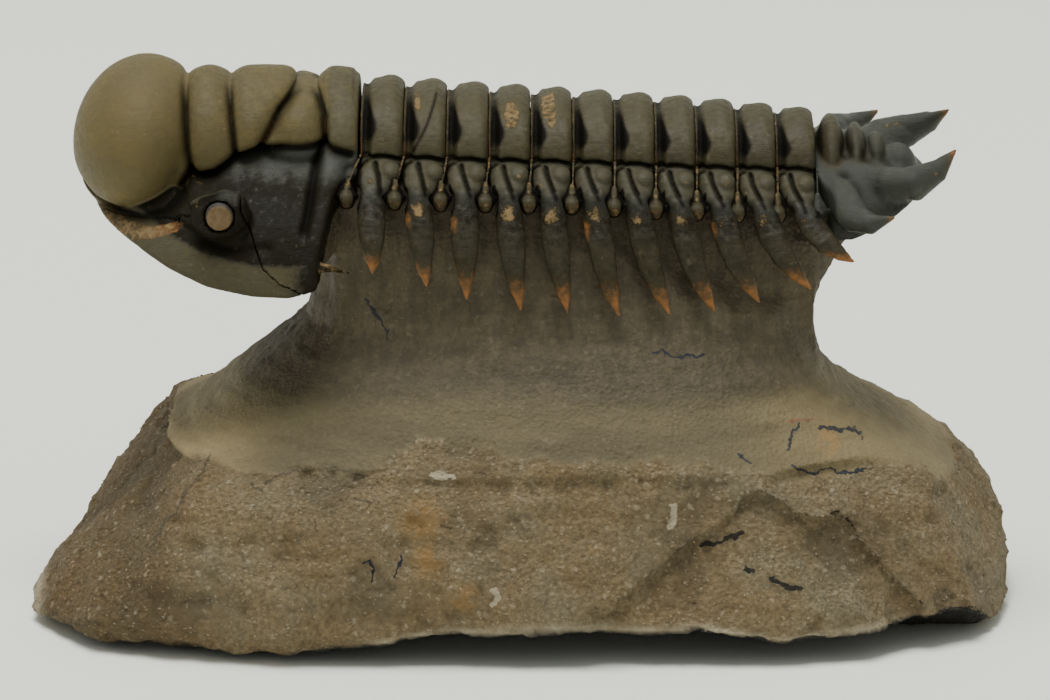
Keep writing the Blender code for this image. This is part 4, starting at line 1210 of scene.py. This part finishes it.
# Broken facets, as (a place on the facet, the way it faces).
FACETS = (((-31.6, -22.3, 9.6), (-0.62, -0.53, 0.58)), ((-22, -27.3, 6), (-0.10, -0.94, 0.26)),
          ((-14, -25.6, 12.5), (-0.05, -0.84, 0.54)), ((4, -26.6, 8), (0.05, -0.90, 0.36)),
          ((8, -24.6, 13.4), (0.02, -0.76, 0.65)), ((24, -25.4, 8), (0.20, -0.90, 0.34)),
          ((34.5, -20.2, 8), (0.48, -0.76, 0.42)), ((31.5, -18.2, 13.2), (0.34, -0.52, 0.78)),
          ((40.6, -8, 8), (0.86, -0.26, 0.44)), ((-37.9, -4, 11.4), (-0.87, 0.10, 0.48)),
          ((-40.9, -5, 6.6), (-0.80, -0.12, 0.60)))
# The fresh break low on the near side, as x and z, and the height of the raw lip along the foot.
BREAK_LEFT = ((5.6, 4.3), (15.0, 10.6), (20.1, 14.6))
BREAK_RIGHT = ((34.8, 3.8), (29.6, 9.3), (27.9, 11.8), (24.6, 12.1), (20.1, 14.6))
LIP_X = (-44, -40, -32, -23, -12.5, -8, 3, 10, 15, 22, 30.5, 37.5, 44)
LIP_Z = (0.9, 0.8, 0.6, 0.5, 1.7, 2.5, 3.2, 2.7, 3.1, 1.8, 2.4, 3.0, 2.0)
CARVED_EDGE = ((-37, 13.2), (-33.2, 15.3), (-29.7, 15.9), (-27.3, 16.0), (-23.1, 15.6), (-17.5, 16.3),
               (-14.7, 15.9), (-12.4, 16.3), (-11.1, 17.5), (-9.4, 18.4), (-5, 18.2), (0, 17.2), (6, 16.8),
               (12, 16.9), (19.5, 16.2), (24, 14.8), (28, 14.9), (32.7, 15.1), (38, 12.6))


def block_outline(z):
    """The block's left, right, near and far limits at a height, and how square it is there."""
    return [np.interp(z, BLOCK_LEVELS[:, 0], BLOCK_LEVELS[:, k]) for k in range(1, 6)]


def block_gap(p):
    """About the distance outside the block."""
    left, right, near, far, square = block_outline(p[:, 2])
    x, y = p[:, 0] - (left + right) / 2, p[:, 1] - (near + far) / 2
    along, across = np.abs(x) / (right - left) * 2, np.abs(y) / (far - near) * 2
    size = (along ** (2 / square) + across ** (2 / square) + 1e-9) ** (square / 2)
    reach = np.hypot(x, y) / size
    steep = mix(0.95, 0.72, soft_step(14.0, 17.0, p[:, 2]) * soft_step(26.0, 22.0, p[:, 2]))
    return (size - 1.0) * np.clip(reach, 5.0, 60.0) * steep


def core_gap(p):
    """The rock that fills the trunk and stands close behind its spines."""
    q = folded(upright(p))
    x = q[:, 0]
    a, z = axis_half_width(x), furrow_z(x)
    out, up = -q[:, 1] - a, q[:, 2] - z
    wall = np.array(CORE_WALL)
    height = np.interp(out, wall[:5, 0], wall[:5, 1])
    inside = (up < height) & (out < 3.6)
    gap = np.where(inside, -1.0, 1.0) * line_gap(np.stack([out, up], axis=1), CORE_WALL)
    hoop = (np.hypot(q[:, 1] / (a - 0.4), (q[:, 2] - z + 0.9) / (axis_height(x) - 1.9)) - 1.0) * 3.6
    gap = np.minimum(gap, np.maximum(hoop, z - 4.0 - q[:, 2]))
    gap = np.maximum(gap, q[:, 2] - z - 0.7 + 4.0 * soft_step(TRUNK_START + 0.1, TRUNK_START - 0.1, x))
    return cut(cut(gap, TRUNK_START - 2.6 - x, 1.6), x - 25.7, 0.3)


def tail_flare(p):
    """The neck's top, drawn out backwards under the tail shield."""
    q = folded(upright(p))
    x = q[:, 0]
    low = np.interp(x, (24.0, 26.0, 27.5, 29.4), (27.0, 29.6, 32.2, 35.0))
    side = np.interp(x, (24.0, 26.0, 29.4), (7.9, 7.6, 5.4))
    high = np.interp(-q[:, 1], (0, 3, 5.4, 7.6), (38.1, 37.8, 36.6, 34.6))
    flare = cut(cut(low - q[:, 2], -q[:, 1] - side, 0.8), np.maximum(q[:, 2] - high, x - 29.4), 0.4)
    return np.maximum(flare, 22.0 - x)


def head_core(p):
    """The rock inside the head, a little clear of its plates."""
    q = folded(upright(p))
    core = ellipsoid(q, HEAD_CENTRE, tuple(r - SHELL - CORE_CLEARANCE for r in HEAD_RADII))
    return np.maximum(core, np.maximum(margin_gap(q, 0.9), rear_gap(q)))


def chance_facets(count, seed):
    """Flat breaks round the sides and back of the lower block: a place on its outline and a way out."""
    chance = np.random.default_rng(seed)
    facets = []
    for k in range(count):
        turn = math.radians(-25.0 + 230.0 * ((k * 0.618 + chance.uniform(0.0, 0.1)) % 1.0))
        height = 2.5 + 10.5 * chance.uniform()
        left, right, near, far, square = block_outline(height)
        c, s = math.cos(turn), math.sin(turn)
        place = ((left + right) / 2 + (right - left) / 2 * math.copysign(abs(c) ** square, c),
                 (near + far) / 2 + (far - near) / 2 * math.copysign(abs(s) ** square, s), height)
        way = np.array((c * 0.8, s, 0.36 + 0.3 * max(0.0, -c)))
        way = way + chance.uniform(-0.22, 0.22, 3) * (1.0, 1.0, 0.6)
        way = way / np.linalg.norm(way)
        facets.append((np.array(place) - way * chance.uniform(-0.1, 0.5), way))
    return facets


ALL_FACETS = list(FACETS) + chance_facets(22, 5)


def lip_height(x, y):
    """How high the raw foot stands off the floor: the near edge is broken away from below."""
    return np.interp(x, LIP_X, LIP_Z) * soft_step(-13.0, -21.0, y)


def rock_gap(p):
    rock = block_gap(p)
    x, y, z = p.T
    for place, way in ALL_FACETS:
        way = np.array(way) / np.linalg.norm(way)
        rock = cut(rock, (p - np.array(place)) @ way - 3.0 * soft_step(15.0, 18.0, z), 0.12)
    rock = np.maximum(rock, z - 36.5)
    left, right = (np.interp(z, [q[1] for q in side], [q[0] for q in side])
                   for side in (BREAK_LEFT, BREAK_RIGHT))
    within = np.minimum(x - left, right - x)
    recess = soft_step(0.0, 0.75, within) * soft_step(14.0, -1.0, within) * soft_step(14.6, 13.8, z)
    rock = rock + 0.95 * recess * soft_step(-20.0, -23.0, y)
    ledge = soft_step(0.25, -0.25, z - np.interp(x, *np.array(CARVED_EDGE[:9]).T)) * soft_step(-9.0, -11.0, x)
    rock = rock + 0.5 * ledge * soft_step(13.6, 15.6, z) * soft_step(-14.0, -18.0, y)
    rock = blend(rock, core_gap(p), 1.2)
    rock = blend(rock, tail_flare(p), 1.2)
    rock = blend(rock, head_core(p), 0.5)
    rock = np.maximum(rock, (lip_height(x, y) - z) * 0.9)
    return np.maximum(rock, -z)


def rock_paint(vertices):
    """Where the stone is raw or a scraped neck, where it may be moved, and where it is pale or in shadow."""
    x, y, z = vertices.T
    edge = np.interp(x, *np.array(CARVED_EDGE).T) + 0.22 * np.sin(1.3 * x) + 0.12 * np.sin(3.1 * x + y)
    raw = soft_step(0.35, -0.35, z - edge)
    neck = soft_step(18.0, 25.0, z)
    over_lip = z - lip_height(x, y)
    foot = soft_step(1.1, 0.5, over_lip) * soft_step(-20, -24, y) * soft_step(-14.5, -12, x)
    pale_tip = soft_step(-42.2, -43.0, x) * soft_step(6.0, 4.6, z) * soft_step(2.0, -2.0, y)
    foot = np.maximum(foot, pale_tip)
    under = soft_step(0.45, 0.15, over_lip) * soft_step(0.1, 0.4, lip_height(x, y))
    return {"raw": raw, "neck": neck, "foot": foot * soft_step(32.5, 30.5, x), "free": soft_step(0.1, 1.0, z),
            "under": under}


print("broken facets in the rock's formula:", len(ALL_FACETS))

# %% [markdown]
# Stone breaks in flat faces and thin ledges. The faces are planes in the formula. The ledges come here,
# from a broad noise that is cut into steps with steep sides, and a finer noise adds grain. Where the
# stone was ground the ledges fade, and on the neck fine vertical strokes of the scraper take their place.
# The tree ends by scattering crumbs on the raw faces, and realizes them, because instances aren't
# exported.

# %% Geometry Nodes: broken stone
STEPS = 9.0                            # how many ledges the broad noise is cut into
CRUMB_RADIUS = 0.13


def tree_broken_stone():
    numbers = [("Facet size", "Float", 4.0), ("Facet depth", "Float", 1.0), ("Grain height", "Float", 0.3),
               ("Stroke height", "Float", 0.3), ("Crumbs", "Float", 0.02), ("Seed", "Int", 3)]
    tree, put, out = new_shape_tree("Broken stone", numbers)
    raw, neck, free = (node("GeometryNodeInputNamedAttribute", {"Name": label}, tree=tree, data_type="FLOAT")
                       for label in ("raw", "neck", "free"))
    place = scaled(node("GeometryNodeInputPosition", tree=tree), 1000.0)
    normal = node("GeometryNodeInputNormal", tree=tree)

    steps = noise(place, 1.0 / put["Facet size"], 2.0, 0.5) * STEPS
    terrace = maths("FLOOR", steps) + ramp(maths("FRACT", steps), 0.42, 0.58)
    facet = (terrace - STEPS / 2) * (put["Facet depth"] * raw)
    grain = (noise(place, 0.8, 6.0, 0.72) - 0.5) * put["Grain height"] * ramp(raw, 0.0, 1.0, 0.45, 1.3)
    strokes = noise(stretched(place, (1.0, 1.0, 0.13)), 1.1, 4.0, 0.7)
    strokes = (strokes - 0.5) * (put["Stroke height"] * neck)
    layers = noise(stretched(place, (0.16, 0.16, 1.0)), 0.85, 4.0, 0.65)
    layers = (layers - 0.5) * (put["Stroke height"] * (1.0 - neck * 0.4))
    rise = ((facet + grain) + (strokes + layers) - 0.15) * free
    kept = {"Geometry": put["Geometry"], "Name": "rise", "Value": rise}
    kept = node("GeometryNodeStoreNamedAttribute", kept, data_type="FLOAT", domain="POINT")
    moved = node("GeometryNodeSetPosition", {"Geometry": kept, "Offset": scaled(normal, rise * MM)})

    density = put["Crumbs"] * 1e6 * (raw * free)
    points = node("GeometryNodeDistributePointsOnFaces",
                  {"Mesh": moved, "Seed": put["Seed"], "Density": density})
    crumb = node("GeometryNodeMeshIcoSphere", {"Radius": CRUMB_RADIUS * MM, "Subdivisions": 1}, tree=tree)
    turn, size = (node("FunctionNodeRandomValue", {0: low, 1: high, "Seed": seed}, tree=tree,
                       data_type="FLOAT_VECTOR")
                  for low, high, seed in (((0.0, 0.0, 0.0), (6.3, 6.3, 6.3), 5),
                                          ((0.5, 0.5, 0.3), (1.9, 1.3, 0.9), 6)))
    scattered = node("GeometryNodeInstanceOnPoints",
                     {"Points": points, "Instance": crumb, "Rotation": turn, "Scale": size})
    crumbs = {"Geometry": node("GeometryNodeRealizeInstances", {0: scattered}), "Name": "crumb", "Value": 1.0}
    crumbs = node("GeometryNodeStoreNamedAttribute", crumbs, data_type="FLOAT", domain="POINT")
    joined = node("GeometryNodeJoinGeometry", {0: crumbs})
    join(moved, joined.socket.node.inputs[0])
    end_shape_tree(joined, put, out)
    return tree


BROKEN_STONE = tree_broken_stone()
print("tree for the rock:", BROKEN_STONE.name)

# %% [markdown]
# The limestone is brown-grey and granular where it broke, with pale flecks of calcite and rusty stains, with
# shade painted into its crevices, and smoother and greyer where it was ground. The preparer's few ink
# strokes, hairline cracks and a pale chip are thin lines on its near side, and a few more dark lines are
# painted shade in small recesses and under the edges of deeper cracks. The ends of the ground slope get
# painted light and the raw left end painted shade. The raw lip at the foot is nearly white, with a shadow
# painted beneath it.

# %% The stone's material
STONE_BROWN = (0.225, 0.172, 0.086, 1.0)
STONE_PALE = (0.262, 0.220, 0.130, 1.0)
STONE_GROUND = (0.130, 0.104, 0.046, 1.0)
STONE_NECK = (0.078, 0.061, 0.030, 1.0)
STONE_DARK = (0.075, 0.058, 0.030, 1.0)
CALCITE = (0.46, 0.39, 0.26, 1.0)
STAIN = (0.30, 0.172, 0.052, 1.0)
INK = (0.006, 0.009, 0.017, 1.0)
RED_INK = (0.25, 0.05, 0.03, 1.0)
DEEP_CRACK_SHADE = (0.010, 0.008, 0.006, 1.0)
LIP_SHADOW = (0.02, 0.017, 0.012, 1.0)
# What the stone's colour is multiplied by in streaks, scrapes, painted light on the ground slope's ends,
# painted shade on the raw left end, grit and warm clouds.
STREAKED, SCRAPED, PAINTED_END_LIGHT = (0.60, 0.58, 0.55), (1.6, 1.6, 1.65), (2.8, 2.7, 2.8)
SHADED, GRITTY, WARMED = (0.60, 0.54, 0.42), (0.45, 0.43, 0.40), (1.16, 0.92, 0.66)
STONE_BUMP = 0.0005
# Lines on the near side, as x and z.
# Hairline cracks, and short dark lines that are painted shade in small recesses near the carved edge.
CRACKS_AND_SHADOWS = (((-27.5, 16.0), (-28.3, 14.9), (-29.4, 14.0), (-30.0, 12.5), (-31.2, 11.3), (-32.4, 9.0)),
          ((-23.6, 14.9), (-22.6, 14.5)), ((-22.4, 15.0), (-19.8, 15.9)),
          ((-17.4, 16.5), (-15.6, 16.2), (-14.2, 15.8)), ((-14.6, 14.3), (-13.2, 13.8)),
          ((-18.2, 12.5), (-17.8, 11.6)), ((-7.2, 12.0), (-6.4, 11.8)))
# Deeper cracks: the black painted along them is the shade under their undercut edges.
DEEP_CRACKS = (((15.2, 9.9), (17.0, 10.3), (18.8, 11.1)), ((19.0, 8.3), (19.7, 8.0)),
               ((21.2, 7.5), (22.4, 6.9), (23.6, 6.5)))
INK_LINES = (((23.9, 18.5), (23.1, 17.7), (22.9, 17.0)),
             ((23.2, 16.1), (24.1, 15.5), (25.4, 15.1), (26.6, 15.5), (27.1, 15.0), (28.2, 14.8),
              (29.7, 14.9)),
             ((25.8, 18.0), (28.6, 17.4), (29.7, 16.9)),
             ((11.1, 24.5), (12.0, 24.8), (13.0, 24.2), (14.2, 24.3), (15.6, 24.3)),
             ((-14.0, 28.6), (-13.1, 27.4), (-12.1, 26.1), (-12.1, 25.6)), ((18.4, 17.2), (19.5, 16.5)),
             ((-13.9, 9.0), (-13.2, 9.3), (-13.0, 8.6), (-13.2, 7.6)), ((-10.6, 9.6), (-11.2, 7.9)))
RED_LINES = (((23.1, 18.9), (25.1, 18.7)), ((29.8, 18.2), (31.8, 17.8)))
PALE_CHIPS = (((-8.0, 15.9), (-6.2, 15.8)), ((12.7, 13.4), (12.9, 12.4), (12.4, 11.6)),
              ((-2.7, 6.9), (-2.4, 6.3), (-2.8, 5.6)))
# Each kind of line with its half width, its strength and its colour.
DRAWN = ((CRACKS_AND_SHADOWS, 0.07, 0.75, STONE_DARK), (DEEP_CRACKS, 0.15, 0.95, DEEP_CRACK_SHADE),
         (RED_LINES, 0.06, 0.6, RED_INK), (INK_LINES, 0.07, 0.96, INK))
# Rusty stains on the near side, as x, z and radius.
STAINS = ((-8.8, 12.4, 3.0), (-8.2, 9.4, 2.3), (-5.2, 6.3, 2.0), (26.6, 17.2, 1.5))


def lines_mask(place, lines, half_width):
    """The strongest of several bent lines, each drawn on the near side as x and z."""
    return greatest([use(LINE, place, From=(a[0], 0.0, a[1]), To=(b[0], 0.0, b[1]), Half_width=half_width)
                     for line in lines for a, b in zip(line, line[1:])])


def stone_material():
    material, tree, place = new_material("limestone")
    raw, neck, rise, crumb, foot, under = painted(tree, "raw", "neck", "rise", "crumb", "foot", "under")
    across = node("ShaderNodeSeparateXYZ", {0: place})
    near_side = ramp(across.other(1), -7.0, -9.0)
    fine = use(CLOUDS, place, Size=0.42, Contrast=1.8)

    # The neck is painted darker than the slope: partly the stone's own tone, partly painted shade under the
    # body.
    ground = tint(ramp(neck, 0.15, 0.75), STONE_GROUND, STONE_NECK)
    streaks = noise(stretched(place, (0.18, 0.18, 1.1)), 0.5, 5.0, 0.6)
    ground = multiplied(ramp(streaks, 0.35, 0.65, 0.0, 0.6), ground, STREAKED)
    scraped = noise(stretched(place, (1.0, 1.0, 0.1)), 1.2, 4.0, 0.65)
    ground = multiplied(ramp(scraped, 0.4, 0.62) * (neck * 0.7), ground, SCRAPED)
    # Painted light: the ends of the ground slope are brightened for the light they catch.
    lit_ends = greatest([ramp(across, -20.0, -30.0), ramp(across, 16.0, 28.0, 0.0, 0.5)])
    ground = multiplied(lit_ends * (1.0 - neck), ground, PAINTED_END_LIGHT)

    colour = tint(use(CLOUDS, place, Size=6.0, Contrast=1.3), STONE_BROWN, STONE_PALE)
    colour = multiplied(ramp(across, -27.5, -33.0) * 0.9, colour, SHADED)
    colour = tint(raw, ground, colour)
    colour = multiplied(fine * ramp(raw, 0.0, 1.0, 0.3, 0.75), colour, GRITTY)
    warm = use(CLOUDS, vectors("ADD", place, (31.0, 7.0, 3.0)), Size=5.0, Contrast=1.6)
    colour = multiplied(warm * raw * 0.5, colour, WARMED)
    # Painted shade: the stone is darkened where its broken surface sinks, as shade in its hollows.
    hollow = ramp(rise + fine * 0.25, -0.55, -0.05, 1.0, 0.0)
    colour = tint(hollow * 0.45, colour, STONE_DARK)

    patchy = noise(place, 0.6, 3.0)
    flat = stretched(place, (1.0, 0.0, 1.0))
    stain = greatest([ramp(vectors("DISTANCE", flat, (x, 0.0, z)), radius * 0.2, radius, 1.0, 0.0)
                      for x, z, radius in STAINS])
    colour = tint(stain * ramp(patchy, 0.32, 0.54) * near_side * 0.72, colour, STAIN)
    specks = use(FLECKS, place, Size=0.9, Share=0.5)
    grit = use(FLECKS, stretched(place, (1.0, 1.6, 1.6)), Size=0.5, Share=0.6)
    pale = greatest([specks * 0.8, grit]) * ramp(raw, 0.0, 1.0, 0.12, 0.7)
    colour = tint(greatest([pale, crumb * (fine * 0.6)]), colour, CALCITE)

    wander = node("ShaderNodeTexNoise", {"Vector": place, "Scale": 1.4, "Detail": 3.0}, "Color")
    shaken = vectors("ADD", place, scaled(vectors("SUBTRACT", wander, (0.5, 0.5, 0.5)), 0.9))
    chips = lines_mask(shaken, PALE_CHIPS, 0.16) * near_side
    colour = tint(greatest([chips, foot * ramp(patchy, 0.3, 0.6, 0.35, 0.9)]), colour, CALCITE)
    for lines, half_width, strength, paint in DRAWN:
        colour = tint(lines_mask(shaken, lines, half_width) * near_side * strength, colour, paint)
    colour = tint(under, colour, LIP_SHADOW)

    grain = use(GRAIN, place, Size=0.9, Lumps=0.9, Grit=1.6) * ramp(raw, 0.0, 1.0, 0.35, 1.0)
    finish(tree, colour, ramp(raw, 0.0, 1.0, 0.66, 0.88), grain, 0.9, STONE_BUMP)
    return material


LIMESTONE = stone_material()
print("stone finish:", LIMESTONE.name)

# %% [markdown]
# The rock is the largest piece, so its cells are coarser than the plates'. Its base is made exactly flat
# before the tree for broken stone runs, and the paint called free keeps the base where it is.

# %% Sculpt the rock
ROCK_BOX = ((-45.5, -29.5, -0.6), (45.0, 29.5, 45.0))
vertices, quads = sculpt(rock_gap, *ROCK_BOX, ROCK_CELL)
vertices[:, 2] = np.where(vertices[:, 2] < 0.12, 0.0, vertices[:, 2])
rock = make_piece("matrix_finish", vertices, quads, rock_paint(vertices))
run_tree(rock, BROKEN_STONE, Facet_size=9.0, Facet_depth=0.3, Grain_height=0.62, Stroke_height=0.9,
         Crumbs=0.18, Seed=3, Finish=LIMESTONE)
dress(rock, "matrix")

# %% [markdown]
# The photo was taken on a pale sheet, in soft light from straight above. The sheet throws light back on
# the rock's steep sides, while the neck under the body stays dark. One large area lamp and a dim pale
# world do the same.

# %% Floor, lamps and camera
SHEET_DEPTH, SHEET_HEIGHT, SHEET_BEND, SHEET_HALF_WIDTH = 2.0, 1.6, 0.5, 2.5       # in metres
SHEET_COLOUR = (0.93, 0.945, 0.875, 1.0)
LAMP_PLACE, LAMP_AIM, LAMP_SIZE = (-0.15, -0.05, 1.5), (0.0, 0.02, 0.03), (1.0, 0.7)
LAMP_POWER, LAMP_COLOUR = 27.5, (1.0, 0.995, 0.97)
WORLD_COLOUR, WORLD_STRENGTH = (0.93, 0.96, 0.92, 1.0), 0.53
VIEW_DOWN = math.radians(13.0)         # how far the camera looks down
VIEW_DISTANCE, VIEW_HEIGHT, VIEW_WIDTH, NEAR_LIMIT = 0.5, 0.0217, 0.0945, 0.01


def make_sweep():
    """A pale sheet, flat under the object and curving up far behind it."""
    flat_end = SHEET_DEPTH - SHEET_BEND
    profile = [(-SHEET_DEPTH, 0.0), (flat_end, 0.0)]
    profile += [(flat_end + SHEET_BEND * math.sin(t), SHEET_BEND * (1 - math.cos(t)))
                for t in np.linspace(0.1, 1.57, 14)]
    profile.append((SHEET_DEPTH, SHEET_HEIGHT))
    points = [(x, y, z) for y, z in profile for x in (-SHEET_HALF_WIDTH, SHEET_HALF_WIDTH)]
    faces = [(2 * k, 2 * k + 1, 2 * k + 3, 2 * k + 2) for k in range(len(profile) - 1)]
    mesh = bpy.data.meshes.new("pale sheet")
    mesh.from_pydata(points, [], faces)
    mesh.shade_smooth()
    sheet = bpy.data.objects.new("pale sheet", mesh)
    bpy.context.scene.collection.objects.link(sheet)
    material = bpy.data.materials.new("pale paper")
    material.use_nodes = True
    shader = material.node_tree.nodes["Principled BSDF"]
    shader.inputs["Base Color"].default_value = SHEET_COLOUR
    shader.inputs["Roughness"].default_value = 0.7
    mesh.materials.append(material)
    sheet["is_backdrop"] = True


make_sweep()
lamp = bpy.data.objects.new("window above", bpy.data.lights.new("window above", "AREA"))
lamp.data.shape = "RECTANGLE"
lamp.data.size, lamp.data.size_y = LAMP_SIZE
lamp.data.energy = LAMP_POWER
lamp.data.color = LAMP_COLOUR
lamp.location = LAMP_PLACE
lamp.rotation_euler = (Vector(LAMP_AIM) - Vector(LAMP_PLACE)).to_track_quat("-Z", "Y").to_euler()
bpy.context.scene.collection.objects.link(lamp)

world = bpy.data.worlds.new("soft room")
bpy.context.scene.world = world
world.use_nodes = True
world.node_tree.nodes["Background"].inputs["Color"].default_value = WORLD_COLOUR
world.node_tree.nodes["Background"].inputs["Strength"].default_value = WORLD_STRENGTH

camera = bpy.data.objects.new("camera", bpy.data.cameras.new("camera"))
bpy.context.scene.collection.objects.link(camera)
camera.location = (0.0, -VIEW_DISTANCE * math.cos(VIEW_DOWN),
                   VIEW_HEIGHT + VIEW_DISTANCE * math.sin(VIEW_DOWN))
camera.rotation_euler = (math.radians(90.0) - VIEW_DOWN, 0.0, 0.0)
camera.data.sensor_width = 36.0
camera.data.lens = 36.0 * VIEW_DISTANCE / VIEW_WIDTH
camera.data.clip_start = NEAR_LIMIT
bpy.context.scene.camera = camera
print("lamp:", LAMP_POWER, "W, view width:", round(VIEW_WIDTH / MM, 1), "mm")

# %% [markdown]
# The box of the visual model is printed, in millimetres.

# %% Sizes
low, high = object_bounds()
print("visual box:", [round(v / MM, 2) for v in (*low, *high)])
